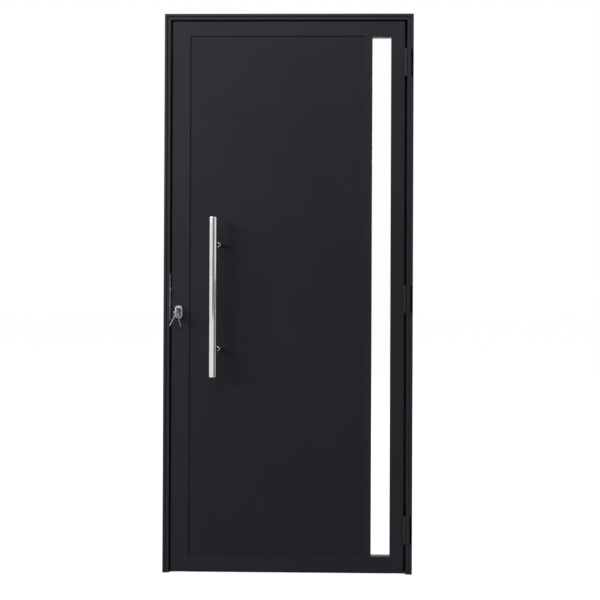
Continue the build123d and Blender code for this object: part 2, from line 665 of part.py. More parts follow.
def mullion():
    """The slim upright between panel and glass, with a lip each side and coped ends."""
    width = MULLION_RIGHT_X - MULLION_LEFT_X
    outline = area(0, width, 0, LEAF_THICKNESS)
    outline += area(-LIP_WIDTH, width + LIP_WIDTH, 0, LIP_THICKNESS)
    corners = [corner for corner in outline.vertices() if corner.Y < LIP_THICKNESS / 2]
    outline = fillet(corners, EDGE_ROUND)
    outline -= area(LEAF_WALL, width - LEAF_WALL, LEAF_WALL + LIP_THICKNESS, LEAF_THICKNESS - LEAF_WALL)
    plane = Plane(origin=(MULLION_LEFT_X, LEAF_Y, RAIL_LOW_Z), x_dir=(1, 0, 0), z_dir=(0, 0, 1))
    post = extrude(plane * outline, RAIL_HIGH_Z - RAIL_LOW_Z)
    x0 = MULLION_LEFT_X - LIP_WIDTH - OVERRUN
    x1 = MULLION_RIGHT_X + LIP_WIDTH + OVERRUN
    lip_y = LEAF_Y + LIP_THICKNESS
    post -= span(x0, x1, LEAF_Y - OVERRUN, lip_y, RAIL_LOW_Z - OVERRUN, SIGHT_LOW_Z)
    return post - span(x0, x1, LEAF_Y - OVERRUN, lip_y, SIGHT_HIGH_Z, RAIL_HIGH_Z + OVERRUN)


def rail_spigots():
    """The blocks inside the rail ends that tie them to the stiles."""
    y0 = LEAF_Y + LEAF_WALL + CLEAT_GAP
    y1 = LEAF_BACK_Y - LEAF_WALL - CLEAT_GAP
    outer = BRUSH_SLOT_DEPTH + LEAF_WALL + CLEAT_GAP
    inner = RAIL_BOX - LEAF_WALL - CLEAT_GAP
    blocks = []
    for x0 in (LOCK_STILE_INNER_X, HINGE_STILE_INNER_X - SPIGOT_LENGTH):
        x1 = x0 + SPIGOT_LENGTH
        blocks.append(span(x0, x1, y0, y1, LEAF_BOTTOM_Z + outer, LEAF_BOTTOM_Z + inner))
        blocks.append(span(x0, x1, y0, y1, LEAF_TOP_Z - inner, LEAF_TOP_Z - outer))
    return blocks


def bottom_brush():
    """The brush strip in the slot under the bottom rail."""
    length_x = (LOCK_STILE_INNER_X, HINGE_STILE_INNER_X)
    holder = BRUSH_SLOT_WIDTH / 2 - PRESS_GAP
    top = LEAF_BOTTOM_Z + BRUSH_SLOT_DEPTH - PRESS_GAP
    brush = span(*length_x, LEAF_MID_Y - holder, LEAF_MID_Y + holder, LEAF_BOTTOM_Z, top)
    half = BRUSH_WIDTH / 2
    return brush + span(*length_x, LEAF_MID_Y - half, LEAF_MID_Y + half, BRUSH_FLOOR_GAP, LEAF_BOTTOM_Z)


# Infill


def slab(x0, x1, y0, y1):
    """A sheet that fills one field of the leaf between the rails."""
    return span(
        x0 + INFILL_EDGE_GAP, x1 - INFILL_EDGE_GAP, y0, y1,
        RAIL_LOW_Z + INFILL_EDGE_GAP, RAIL_HIGH_Z - INFILL_EDGE_GAP,
    )


def ring_gasket(x0, x1, y0, y1):
    """A gasket round the edge of one field."""
    inset = INFILL_EDGE_GAP + GASKET_WIDTH
    hole = span(
        x0 + inset, x1 - inset, y0 - OVERRUN, y1 + OVERRUN, RAIL_LOW_Z + inset, RAIL_HIGH_Z - inset
    )
    return slab(x0, x1, y0, y1) - hole


def panel_layer(y0, y1):
    """One layer of the panel, drilled for the bolts of the pull handle."""
    layer = slab(LOCK_STILE_INNER_X, MULLION_LEFT_X, y0, y1)
    for z in POST_HEIGHTS:
        start = (PULL_X, y0 - OVERRUN, z)
        layer -= rod(PULL_BOLT_R + PRESS_GAP, start, (0, 1, 0), y1 - y0 + 2 * OVERRUN)
    return layer


def bead_outline(depth, wall):
    """A bead's outline, less a wall all round, with its shown face sloping away to the back."""
    return Polygon(
        (0, wall),
        (LIP_WIDTH - wall, wall),
        (LIP_WIDTH - BEAD_SLOPE - wall, depth - wall),
        (0, depth - wall),
        align=None,
    )


def beads(x0, x1, y0):
    """The side beads and the end beads behind one field: channels, the ends cut to fit the sides."""
    depth = LEAF_BACK_Y - y0
    outline = bead_outline(depth, 0)
    channel = outline - bead_outline(depth, BEAD_WALL)
    height = RAIL_HIGH_Z - RAIL_LOW_Z
    left = Plane(origin=(x0, y0, RAIL_LOW_Z), x_dir=(1, 0, 0), z_dir=(0, 0, 1))
    right = Plane(origin=(x1, y0, RAIL_HIGH_Z), x_dir=(-1, 0, 0), z_dir=(0, 0, -1))
    high = Plane(origin=(x0, y0, RAIL_HIGH_Z), x_dir=(0, 0, -1), z_dir=(1, 0, 0))
    low = Plane(origin=(x1, y0, RAIL_LOW_Z), x_dir=(0, 0, 1), z_dir=(-1, 0, 0))
    sides = [extrude(place * channel, height) for place in (left, right)]
    ends = [extrude(place * channel, x1 - x0) for place in (high, low)]
    for place in (left, right):
        filled = extrude(place * outline, height)
        ends = [end - filled for end in ends]
    return sides, ends


# Lock


def cylinder_outline(gap):
    """The keyhole-shaped outline of the lock cylinder, round at the top with a tongue below."""
    half = CYLINDER_TONGUE_WIDTH / 2
    tongue = area(-half - gap, half + gap, half - CYLINDER_DROP, 0)
    foot = Pos(0, half - CYLINDER_DROP) * Circle(half + gap)
    return Circle(CYLINDER_R + gap) + tongue + foot


def cylinder_profile(y0, y1, gap):
    """The lock cylinder's outline run between two planes."""
    plane = Plane(origin=(CYLINDER_X, y1, PLUG_Z), x_dir=(1, 0, 0), z_dir=(0, -1, 0))
    return extrude(plane * cylinder_outline(gap), y1 - y0)


def cylinder_screw_hole(gap):
    """The room for the cylinder's screw, from the forend to the bridge under the cam."""
    length = BACKSET + CYLINDER_TONGUE_WIDTH / 2
    start = (LOCK_EDGE_X, LEAF_MID_Y, CYLINDER_SCREW_Z)
    return flush_screw(
        CYLINDER_SCREW_R + gap, CYLINDER_SCREW_HEAD_R + gap, CYLINDER_SCREW_HEAD, start, (1, 0, 0), length
    )


def cylinder_screw():
    """The screw that holds the cylinder, with a cross recess."""
    return cylinder_screw_hole(0) - drive_recess((LOCK_EDGE_X, LEAF_MID_Y, CYLINDER_SCREW_Z), (1, 0, 0))


def cylinder_body():
    """The fixed body of the lock cylinder, slotted in the middle for the cam."""
    body = cylinder_profile(CYLINDER_FRONT_Y, CYLINDER_BACK_Y, 0)
    start = (CYLINDER_X, CYLINDER_FRONT_Y - OVERRUN, PLUG_Z)
    length = CYLINDER_BACK_Y - CYLINDER_FRONT_Y + 2 * OVERRUN
    body -= rod(PLUG_R + RUNNING_GAP, start, (0, 1, 0), length)
    room = CYLINDER_R + OVERRUN
    body -= span(
        CYLINDER_X - room, CYLINDER_X + room, LEAF_MID_Y - CAM_SLOT / 2, LEAF_MID_Y + CAM_SLOT / 2,
        PLUG_Z - BRIDGE_TOP, PLUG_Z + room,
    )
    return body - cylinder_screw_hole(PRESS_GAP)


def keyway(front_y, inward):
    """The slot for a key in the end of a plug."""
    half_x = KEY_THICKNESS / 2 + PRESS_GAP
    half_z = KEY_BLADE_HEIGHT / 2 + PRESS_GAP
    y0, y1 = sorted((front_y - inward * OVERRUN, front_y + inward * (KEY_BLADE + KEYWAY_STOP_GAP / 2)))
    return span(CYLINDER_X - half_x, CYLINDER_X + half_x, y0, y1, PLUG_Z - half_z, PLUG_Z + half_z)


def front_plug():
    """The plug that the key turns."""
    plug = rod(PLUG_R, (CYLINDER_X, CYLINDER_FRONT_Y, PLUG_Z), (0, 1, 0), PLUG_LENGTH)
    return plug - keyway(CYLINDER_FRONT_Y, 1)


def rear_plug():
    """The plug of the inner side, which stays still while the outer key turns."""
    start = (CYLINDER_X, CAM_BACK_Y + SLIDE_GAP, PLUG_Z)
    plug = rod(PLUG_R, start, (0, 1, 0), CYLINDER_BACK_Y - CAM_BACK_Y - SLIDE_GAP)
    return plug - keyway(CYLINDER_BACK_Y, -1)


def cylinder_cam():
    """The cam in the middle of the cylinder, with one finger that drives the bolt."""
    plane = Plane(origin=(CYLINDER_X, CAM_BACK_Y, PLUG_Z), x_dir=(1, 0, 0), z_dir=(0, -1, 0))
    half = CAM_FINGER_WIDTH / 2
    finger = area(-half, half, 0, CAM_FINGER_R) & Circle(CAM_FINGER_R)
    return extrude(plane * (Circle(CAM_RING_R) + finger), CAM_THICKNESS)


def escutcheon(seat_y, outward):
    """An oval cover round the cylinder, with a rounded rim and a dished middle."""
    outer_y = seat_y + outward * ESCUTCHEON_THICKNESS
    plane = Plane(origin=(CYLINDER_X, seat_y, CYLINDER_MID_Z), x_dir=(1, 0, 0), z_dir=(0, outward, 0))
    oval = SlotOverall(ESCUTCHEON_HEIGHT, ESCUTCHEON_WIDTH, rotation=90)
    cover = extrude(plane * oval, ESCUTCHEON_THICKNESS)
    rim = [edge for edge in cover.edges() if abs(edge.center().Y - outer_y) < PRESS_GAP]
    cover = fillet(rim, ESCUTCHEON_ROUND)
    dish_height = ESCUTCHEON_HEIGHT - 2 * ESCUTCHEON_RIM
    dish = SlotOverall(dish_height, ESCUTCHEON_WIDTH - 2 * ESCUTCHEON_RIM, rotation=90)
    floor = plane.offset(ESCUTCHEON_THICKNESS - ESCUTCHEON_DISH)
    cover -= extrude(floor * dish, ESCUTCHEON_DISH + OVERRUN)
    y0, y1 = sorted((seat_y, outer_y))
    return cover - cylinder_profile(y0 - OVERRUN, y1 + OVERRUN, PRESS_GAP)


def lock_forend():
    """The face plate of the lock, level with the leaf's edge."""
    y_half = FOREND_WIDTH / 2
    half = FOREND_LENGTH / 2
    plate = span(
        LOCK_EDGE_X, CASE_X, LEAF_MID_Y - y_half, LEAF_MID_Y + y_half,
        FOREND_CENTRE_Z - half, FOREND_CENTRE_Z + half,
    )
    plate = fillet(plate.edges().filter_by(Axis.X), FOREND_THICKNESS)
    plate -= bolt_room(LOCK_EDGE_X - OVERRUN, CASE_X + OVERRUN)
    plate -= fork_room(LOCK_EDGE_X - OVERRUN, CASE_X + OVERRUN)
    for place in forend_screw_places():
        plate -= small_screw_hole(place, (1, 0, 0), FOREND_SCREW_LENGTH)
    return plate - cylinder_screw_hole(PRESS_GAP)


def bolt_room(x0, x1):
    """The passage that the deadbolt slides in."""
    y_half = BOLT_THICKNESS / 2 + SLIDE_GAP
    half = BOLT_HEIGHT / 2 + SLIDE_GAP
    return span(x0, x1, LEAF_MID_Y - y_half, LEAF_MID_Y + y_half, BOLT_Z - half, BOLT_Z + half)


def fork_room(x0, x1):
    """The passage that the roller and its fork slide in."""
    y_half = ROLLER_R + SLIDE_GAP
    half = FORK_HEIGHT / 2 + SLIDE_GAP
    return span(x0, x1, LEAF_MID_Y - y_half, LEAF_MID_Y + y_half, LATCH_Z - half, LATCH_Z + half)


def lock_case():
    """The folded steel case behind the forend, open to it and pierced for the cylinder."""
    y_half = CASE_THICKNESS / 2
    half = CASE_LENGTH / 2
    case = span(
        CASE_X, CASE_BACK_X, LEAF_MID_Y - y_half, LEAF_MID_Y + y_half,
        FOREND_CENTRE_Z - half, FOREND_CENTRE_Z + half,
    )
    y_room = y_half - CASE_WALL
    room = half - CASE_WALL
    case -= span(
        CASE_X - OVERRUN, CASE_BACK_X - CASE_WALL, LEAF_MID_Y - y_room, LEAF_MID_Y + y_room,
        FOREND_CENTRE_Z - room, FOREND_CENTRE_Z + room,
    )
    return case - cylinder_profile(LEAF_MID_Y - CASE_THICKNESS, LEAF_MID_Y + CASE_THICKNESS, PRESS_GAP)


def deadbolt():
    """The square bolt, drawn in level with the forend."""
    y_half = BOLT_THICKNESS / 2
    half = BOLT_HEIGHT / 2
    bolt = span(
        LOCK_EDGE_X, LOCK_EDGE_X + BOLT_LENGTH, LEAF_MID_Y - y_half, LEAF_MID_Y + y_half,
        BOLT_Z - half, BOLT_Z + half,
    )
    return chamfer(bolt.edges().group_by(Axis.X)[0], BOLT_CHAMFER)


def latch_carriage():
    """The sliding fork that carries the roller."""
    y_half = FORK_WIDTH / 2
    low = (ROLLER_X, LEAF_MID_Y, LATCH_Z - FORK_HEIGHT / 2)
    fork = span(
        ROLLER_X, FORK_BACK_X, LEAF_MID_Y - y_half, LEAF_MID_Y + y_half,
        LATCH_Z - FORK_HEIGHT / 2, LATCH_Z + FORK_HEIGHT / 2,
    )
    fork += rod(y_half, low, (0, 0, 1), FORK_HEIGHT)
    gap_half = ROLLER_HEIGHT / 2 + FORK_END_GAP
    fork -= span(
        ROLLER_X - FORK_WIDTH, FORK_ROOT_X, LEAF_MID_Y - FORK_WIDTH, LEAF_MID_Y + FORK_WIDTH,
        LATCH_Z - gap_half, LATCH_Z + gap_half,
    )
    return fork - rod(ROLLER_PIN_R + RUNNING_GAP, low, (0, 0, 1), FORK_HEIGHT)


def roller_pin():
    """The pin that the roller turns on."""
    return rod(ROLLER_PIN_R, (ROLLER_X, LEAF_MID_Y, LATCH_Z - FORK_HEIGHT / 2), (0, 0, 1), FORK_HEIGHT)


def latch_roller():
    """The roller, with softened rims."""
    low = (ROLLER_X, LEAF_MID_Y, LATCH_Z - ROLLER_HEIGHT / 2)
    roller = rod(ROLLER_R, low, (0, 0, 1), ROLLER_HEIGHT)
    roller = fillet(roller.edges().filter_by(GeomType.CIRCLE), ROLLER_ROUND)
    return roller - rod(ROLLER_PIN_R + RUNNING_GAP, low, (0, 0, 1), ROLLER_HEIGHT)


def latch_spring():
    """The coil that pushes the fork out, between its back and the case."""
    room = CASE_BACK_X - CASE_WALL - FORK_BACK_X - 2 * CLEAT_GAP
    coil = room - 2 * SPRING_WIRE_R
    path = Helix(pitch=coil / SPRING_TURNS, height=coil, radius=SPRING_R)
    wire = sweep(Plane(origin=path @ 0, z_dir=path % 0) * Circle(SPRING_WIRE_R), path=path)
    place = Plane(origin=(FORK_BACK_X + CLEAT_GAP + SPRING_WIRE_R, LEAF_MID_Y, LATCH_Z), z_dir=(1, 0, 0))
    return place * wire


# Keys


def key_outline():
    """A flat key along x: the blade to the left of zero, the neck and round bow to the right."""
    half = KEY_BLADE_HEIGHT / 2
    blade = area(-KEY_BLADE, 0, -half, half)
    tip = Polygon((-KEY_BLADE, half), (-KEY_BLADE, -half + KEY_TIP), (KEY_TIP - KEY_BLADE, half), align=None)
    outline = blade - tip
    step = KEY_BLADE / (KEY_CUTS + 1)
    for cut in range(KEY_CUTS):
        middle = -step * (cut + 1)
        depth = KEY_CUT_DEPTH * (1 + cut % 2) / 2
        outline -= Polygon(
            (middle - step / 2, half), (middle, half - depth), (middle + step / 2, half), align=None
        )
    outline += area(0, BOW_CENTRE, -KEY_NECK_HEIGHT / 2, KEY_NECK_HEIGHT / 2)
    outline += Pos(BOW_CENTRE, 0) * Circle(KEY_BOW_R)
    return outline - Pos(KEY_HOLE_AT, 0) * Circle(KEY_HOLE_R)


def key_blank():
    """A key that lies flat, with a groove milled along each side of its blade."""
    blank = extrude(key_outline(), KEY_THICKNESS / 2, both=True)
    middle = -KEY_BLADE_HEIGHT / 4
    for side in (-1, 1):
        z0, z1 = sorted((side * (KEY_THICKNESS / 2 - KEY_GROOVE_DEPTH), side * (KEY_THICKNESS / 2 + OVERRUN)))
        blank -= span(
            -KEY_BLADE - OVERRUN, 0, middle - KEY_GROOVE_WIDTH / 2, middle + KEY_GROOVE_WIDTH / 2, z0, z1
        )
    return blank


def door_key():
    """The key in the front plug, with its bow upright."""
    plane = Plane(origin=(CYLINDER_X, CYLINDER_FRONT_Y, PLUG_Z), x_dir=(0, -1, 0), z_dir=(-1, 0, 0))
    return plane * key_blank()


def ring_centre():
    """The middle of the key ring, which hangs in the bow of the key."""
    wire_z = PLUG_Z - KEY_HOLE_R + KEY_RING_WIRE_R + KEY_HANG_GAP
    return Vector(CYLINDER_X, CYLINDER_FRONT_Y - KEY_HOLE_AT, wire_z - KEY_RING_R)


def key_ring():
    """The round wire ring."""
    return Location(ring_centre()) * Rot(90, 0, 0) * Torus(KEY_RING_R, KEY_RING_WIRE_R)


def spare_key(angle, turn, lean):
    """A spare key that hangs on the ring at an angle round it, turned and leaning."""
    around = math.radians(angle)
    wire = ring_centre() + Vector(math.cos(around), 0, math.sin(around)) * KEY_RING_R
    upright = Rot(0, -90, 0) * Pos(-KEY_HOLE_AT, 0) * key_blank()
    hung = Pos(0, 0, KEY_RING_WIRE_R + SPARE_KEY_HANG_GAP - KEY_HOLE_R) * upright
    return Location(wire) * Rot(0, lean, 0) * Rot(0, 0, turn) * hung


# Pull handle


def pull_tube():
    """The straight polished tube."""
    length = PULL_LENGTH - 2 * CAP_THICKNESS
    start = (PULL_X, PULL_Y, PULL_Z - length / 2)
    tube = rod(PULL_R, start, (0, 0, 1), length)
    return tube - rod(PULL_R - PULL_WALL, start, (0, 0, 1), length)


def pull_end_caps():
    """The two caps that close the tube."""
    caps = []
    for side in (-1, 1):
        seat = (PULL_X, PULL_Y, PULL_Z + side * (PULL_LENGTH / 2 - CAP_THICKNESS))
        disc = rod(PULL_R, seat, (0, 0, side), CAP_THICKNESS)
        rim = disc.edges().filter_by(GeomType.CIRCLE).sort_by(Axis.Z)[-1 if side > 0 else 0]
        disc = fillet(rim, CAP_ROUND)
        caps.append(disc + rod(PULL_R - PULL_WALL - PRESS_GAP, seat, (0, 0, -side), CAP_SPIGOT))
    return caps


def pull_posts():
    """The two posts between panel and tube, shaped to the tube and tapped for the bolts."""
    tube = rod(PULL_R, (PULL_X, PULL_Y, PULL_Z - PULL_LENGTH / 2), (0, 0, 1), PULL_LENGTH)
    posts = []
    for z in POST_HEIGHTS:
        seat = (PULL_X, PANEL_Y, z)
        post = rod(POST_R, seat, (0, -1, 0), PULL_STANDOFF)
        post += rod(POST_COLLAR_R, seat, (0, -1, 0), POST_COLLAR)
        post -= tube
        posts.append(post - rod(PULL_BOLT_R + PRESS_GAP, seat, (0, -1, 0), PULL_BOLT_GRIP + PRESS_GAP))
    return posts


def pull_bolts():
    """The bolts through the panel into the posts, with domed heads behind."""
    bolts = []
    for z in POST_HEIGHTS:
        seat = (PULL_X, PANEL_BACK_Y, z)
        head = rod(PULL_BOLT_HEAD_R, seat, (0, 1, 0), PULL_BOLT_HEAD)
        head = fillet(head.edges().filter_by(GeomType.CIRCLE).sort_by(Axis.Y)[-1], PULL_BOLT_DOME)
        bolts.append(head + rod(PULL_BOLT_R, seat, (0, -1, 0), PANEL_THICKNESS + PULL_BOLT_GRIP))
    return bolts


# Assembly


def frame_nodes():
    """Every piece that stays on the wall."""
    head, lock_blank, hinge_blank = mitred(frame_section())
    nodes = {
        "frame_head": head,
        "lock_jamb": lock_jamb(lock_blank),
        "hinge_jamb": hinge_jamb(hinge_blank),
        "frame_corner_cleats": frame_corner_cleats(),
        "stop_seals": list(mitred(seal_section())),
        "strike_plate": strike_plate(),
        "strike_screws": strike_screws(),
        "hinge_pins": [hinge_pin(z) for z in HINGE_CENTRES],
        "hinge_frame_screws": [
            small_screw(place, (0, 1, 0), FLAP_SCREW_LENGTH)
            for z in HINGE_CENTRES
            for place in frame_flap_screws(z)
        ],
    }
    for name, z in zip(HINGE_NAMES, HINGE_CENTRES):
        nodes[name + "_hinge_frame_flap"] = hinge_frame_flap(z)
    return nodes


def leaf_nodes():
    """The leaf's own frame with its hinges and its infill."""
    high, low = rails()
    core_y = PANEL_Y + SHEET
    core_back_y = PANEL_BACK_Y - SHEET
    panel_x = (LOCK_STILE_INNER_X, MULLION_LEFT_X)
    glass_x = (MULLION_RIGHT_X, HINGE_STILE_INNER_X)
    lip_y = LEAF_Y + LIP_THICKNESS
    panel_sides, panel_ends = beads(*panel_x, PANEL_BACK_Y + BACK_GASKET)
    glass_sides, glass_ends = beads(*glass_x, GLASS_BACK_Y + BACK_GASKET)
    nodes = {
        "lock_stile": lock_stile(),
        "hinge_stile": hinge_stile(),
        "top_rail": high,
        "bottom_rail": low,
        "mullion": mullion(),
        "rail_spigots": rail_spigots(),
        "bottom_brush": bottom_brush(),
        "panel_front_sheet": panel_layer(PANEL_Y, core_y),
        "panel_core": panel_layer(core_y, core_back_y),
        "panel_back_sheet": panel_layer(core_back_y, PANEL_BACK_Y),
        "glass_pane": slab(*glass_x, PANEL_Y, GLASS_BACK_Y),
        "panel_gaskets": [
            ring_gasket(*panel_x, lip_y, PANEL_Y),
            ring_gasket(*panel_x, PANEL_BACK_Y, PANEL_BACK_Y + BACK_GASKET),
        ],
        "glass_gaskets": [
            ring_gasket(*glass_x, lip_y, PANEL_Y),
            ring_gasket(*glass_x, GLASS_BACK_Y, GLASS_BACK_Y + BACK_GASKET),
        ],
        "panel_side_beads": panel_sides,
        "panel_end_beads": panel_ends,
        "glass_side_beads": glass_sides,
        "glass_end_beads": glass_ends,
        "hinge_washers": hinge_washers(),
        "hinge_leaf_screws": [
            small_screw(place, (-1, 0, 0), FLAP_SCREW_LENGTH)
            for z in HINGE_CENTRES
            for place in leaf_flap_screws(z)
        ],
    }
    for name, z in zip(HINGE_NAMES, HINGE_CENTRES):
        nodes[name + "_hinge_leaf_flap"] = hinge_leaf_flap(z)
    return nodes


def hardware_nodes():
    """The lock, its keys and the pull handle."""
    nodes = {
        "lock_forend": lock_forend(),
        "lock_case": lock_case(),
        "forend_screws": [
            small_screw(place, (1, 0, 0), FOREND_SCREW_LENGTH) for place in forend_screw_places()
        ],
        "cylinder_body": cylinder_body(),
        "rear_plug": rear_plug(),
        "cylinder_screw": cylinder_screw(),
        "front_escutcheon": escutcheon(LEAF_Y, -1),
        "back_escutcheon": escutcheon(LEAF_BACK_Y, 1),
        "deadbolt": deadbolt(),
        "latch_carriage": latch_carriage(),
        "roller_pin": roller_pin(),
        "latch_roller": latch_roller(),
        "latch_spring": latch_spring(),
        "front_plug": front_plug(),
        "cylinder_cam": cylinder_cam(),
        "door_key": door_key(),
        "key_ring": key_ring(),
        "pull_tube": pull_tube(),
        "pull_end_caps": pull_end_caps(),
        "pull_posts": pull_posts(),
        "pull_bolts": pull_bolts(),
    }
    for name, angle, turn, lean in zip(
        SPARE_KEY_NAMES, SPARE_KEY_ANGLES, SPARE_KEY_TURNS, SPARE_KEY_LEANS
    ):
        nodes[name] = spare_key(angle, turn, lean)
    return nodes


def write_nodes(nodes):
    """Writes each node, a solid or a group of them, to its own file."""
    os.makedirs("parts", exist_ok=True)
    for name, shape in nodes.items():
        if isinstance(shape, list):
            shape = Compound(children=[solid for piece in shape for solid in piece.solids()])
        shape.label = name
        export_step(shape, os.path.join("parts", name + ".step"))


write_nodes({**frame_nodes(), **leaf_nodes(), **hardware_nodes()})
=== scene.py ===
"""Looks of a satin black door with a narrow glass strip, its pull handle, lock and keys."""

import json
import logging
import math
from collections.abc import Callable
from dataclasses import dataclass, field
from enum import Enum

import bpy
from mathutils import Matrix, Vector


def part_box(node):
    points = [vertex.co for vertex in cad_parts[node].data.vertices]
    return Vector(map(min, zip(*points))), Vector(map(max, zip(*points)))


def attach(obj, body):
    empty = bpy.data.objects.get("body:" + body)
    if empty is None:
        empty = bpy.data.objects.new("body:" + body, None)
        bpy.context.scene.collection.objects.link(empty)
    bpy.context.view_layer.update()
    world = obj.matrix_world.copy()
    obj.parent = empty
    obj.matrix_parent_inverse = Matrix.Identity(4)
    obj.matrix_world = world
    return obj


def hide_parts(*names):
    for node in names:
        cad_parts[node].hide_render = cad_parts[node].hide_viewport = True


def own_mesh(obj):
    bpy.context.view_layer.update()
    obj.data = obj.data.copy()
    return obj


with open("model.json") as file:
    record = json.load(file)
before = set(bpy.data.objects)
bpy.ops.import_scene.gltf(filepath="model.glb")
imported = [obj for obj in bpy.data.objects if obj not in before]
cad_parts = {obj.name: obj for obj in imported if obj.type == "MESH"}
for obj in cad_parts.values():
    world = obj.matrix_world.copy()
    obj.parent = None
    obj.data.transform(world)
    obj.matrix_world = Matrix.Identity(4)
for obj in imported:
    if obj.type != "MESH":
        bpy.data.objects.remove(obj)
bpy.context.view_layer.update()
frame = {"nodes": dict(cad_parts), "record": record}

MM = 0.001
WHITE = (1.0, 1.0, 1.0, 1.0)
WIRE_SIDES = 12
WIRE_STEPS_PER_TURN = 72
MERGE_GAP = 0.0001 * MM
SHARP_ANGLE = math.radians(32)
log = logging.getLogger("glass_strip_door")

# Small tools


def linear(colour: str) -> tuple[float, float, float, float]:
    """Turn a written colour into the linear values that a shader takes.

    Args:
        colour: An sRGB hex value such as "#26272a".

    Returns:
        Red, green, blue and a full alpha.
    """
    parts = [int(colour[at:at + 2], 16) / 255 for at in (1, 3, 5)]
    red, green, blue = (
        part / 12.92 if part <= 0.04045 else ((part + 0.055) / 1.055) ** 2.4 for part in parts
    )
    return red, green, blue, 1.0


def per_metre(size_mm: float) -> float:
    """Give the texture scale at which one wave of a pattern is size_mm wide."""
    return 1 / (size_mm * MM)


def add_node(
    tree: bpy.types.NodeTree, kind: str, settings: dict | None = None, inputs: dict | None = None
) -> bpy.types.Node:
    """Add a node, set its options, and set or link its inputs.

    Args:
        tree: The node tree that the node goes into.
        kind: The node's type name.
        settings: Options of the node itself, by name.
        inputs: Values or output sockets for its inputs, by name or number.

    Returns:
        The new node.
    """
    node = tree.nodes.new(kind)
    for name, value in (settings or {}).items():
        setattr(node, name, value)
    for name, value in (inputs or {}).items():
        if isinstance(value, bpy.types.NodeSocket):
            tree.links.new(value, node.inputs[name])
        else:
            node.inputs[name].default_value = value
    return node


def empty_tree(owner: bpy.types.Material | bpy.types.World) -> bpy.types.NodeTree:
    """Turn on the nodes of a material or a world and clear them.

    Args:
        owner: The material or the world.

    Returns:
        Its empty node tree.
    """
    owner.use_nodes = True
    owner.node_tree.nodes.clear()
    return owner.node_tree


def deselect_all() -> None:
    """Deselect every object, because an operator acts on all that is selected."""
    bpy.ops.object.select_all(action="DESELECT")


# Finishes


class Grain(Enum):
    """The way that polishing or drawing lines run on a metal, as a stretch along x, y and z."""

    NONE = (1.0, 1.0, 1.0)
    ALONG_X = (0.03, 1.0, 1.0)
    ALONG_Z = (1.0, 1.0, 0.03)


@dataclass(frozen=True)
class Finish:
    """What every finish has: a name and a main colour."""

    name: str
    colour: str

    def dress(self, tree: bpy.types.NodeTree, shader: bpy.types.Node) -> None:
        """Give the shader its colour; a kind of finish adds its own pattern.

        Args:
            tree: The material's node tree.
            shader: The surface shader.
        """
        shader.inputs["Base Color"].default_value = linear(self.colour)

    def material(self) -> bpy.types.Material:
        """Make the material.

        Returns:
            A new material of this finish.
        """
        material = bpy.data.materials.new(self.name)
        tree = empty_tree(material)
        shader = add_node(tree, "ShaderNodeBsdfPrincipled")
        self.dress(tree, shader)
        add_node(tree, "ShaderNodeOutputMaterial", None, {"Surface": shader.outputs["BSDF"]})
        return material


@dataclass(frozen=True)
class PowderCoat(Finish):
    """Polyester powder baked on aluminium.

    It gives the eye a deep satin black with a broad soft sheen, a fine orange peel in close
    light, and faint clouds where the coat is thicker or has been wiped.
    """

    worn_colour: str = "#33353a"
    sheen_low: float = 0.36
    sheen_high: float = 0.46
    specular: float = 0.30
    peel_mm: float = 2.2  # the real peel is about 1 mm, drawn coarser so that it shows
    peel_depth: float = 0.4 * MM
    peel_strength: float = 0.12
    cloud_mm: float = 260.0
    grit_mm: float = 0.9
    worn_share: float = 0.35

    def dress(self, tree: bpy.types.NodeTree, shader: bpy.types.Node) -> None:
        """Lay the clouds, the grit and the orange peel.

        Args:
            tree: The material's node tree.
            shader: The surface shader.
        """
        place = add_node(tree, "ShaderNodeTexCoord").outputs["Object"]
        cloud = add_node(
            tree, "ShaderNodeTexNoise", None,
            {"Vector": place, "Scale": per_metre(self.cloud_mm), "Detail": 4.0, "Roughness": 0.55},
        ).outputs["Fac"]
        grit = add_node(
            tree, "ShaderNodeTexNoise", None,
            {"Vector": place, "Scale": per_metre(self.grit_mm), "Detail": 1.0},
        ).outputs["Fac"]
        peel = add_node(
            tree, "ShaderNodeTexNoise", None,
            {"Vector": place, "Scale": per_metre(self.peel_mm), "Detail": 2.0, "Roughness": 0.4},
        ).outputs["Fac"]
        both = add_node(
            tree, "ShaderNodeMath", {"operation": "MULTIPLY"}, {0: cloud, 1: grit}
        ).outputs["Value"]
        share = add_node(
            tree, "ShaderNodeMapRange", None,
            {"Value": both, "From Min": 0.15, "From Max": 0.40, "To Min": 0.0, "To Max": self.worn_share},
        ).outputs["Result"]
        colour = add_node(
            tree, "ShaderNodeMix", {"data_type": "RGBA"},
            {0: share, 6: linear(self.colour), 7: linear(self.worn_colour)},
        ).outputs[2]
        sheen = add_node(
            tree, "ShaderNodeMapRange", None,
            {
                "Value": cloud, "From Min": 0.3, "From Max": 0.7,
                "To Min": self.sheen_low, "To Max": self.sheen_high,
            },
        ).outputs["Result"]
        bump = add_node(
            tree, "ShaderNodeBump", None,
            {"Height": peel, "Strength": self.peel_strength, "Distance": self.peel_depth},
        ).outputs["Normal"]
        tree.links.new(colour, shader.inputs["Base Color"])
        tree.links.new(sheen, shader.inputs["Roughness"])
        tree.links.new(bump, shader.inputs["Normal"])
        shader.inputs["Specular IOR Level"].default_value = self.specular


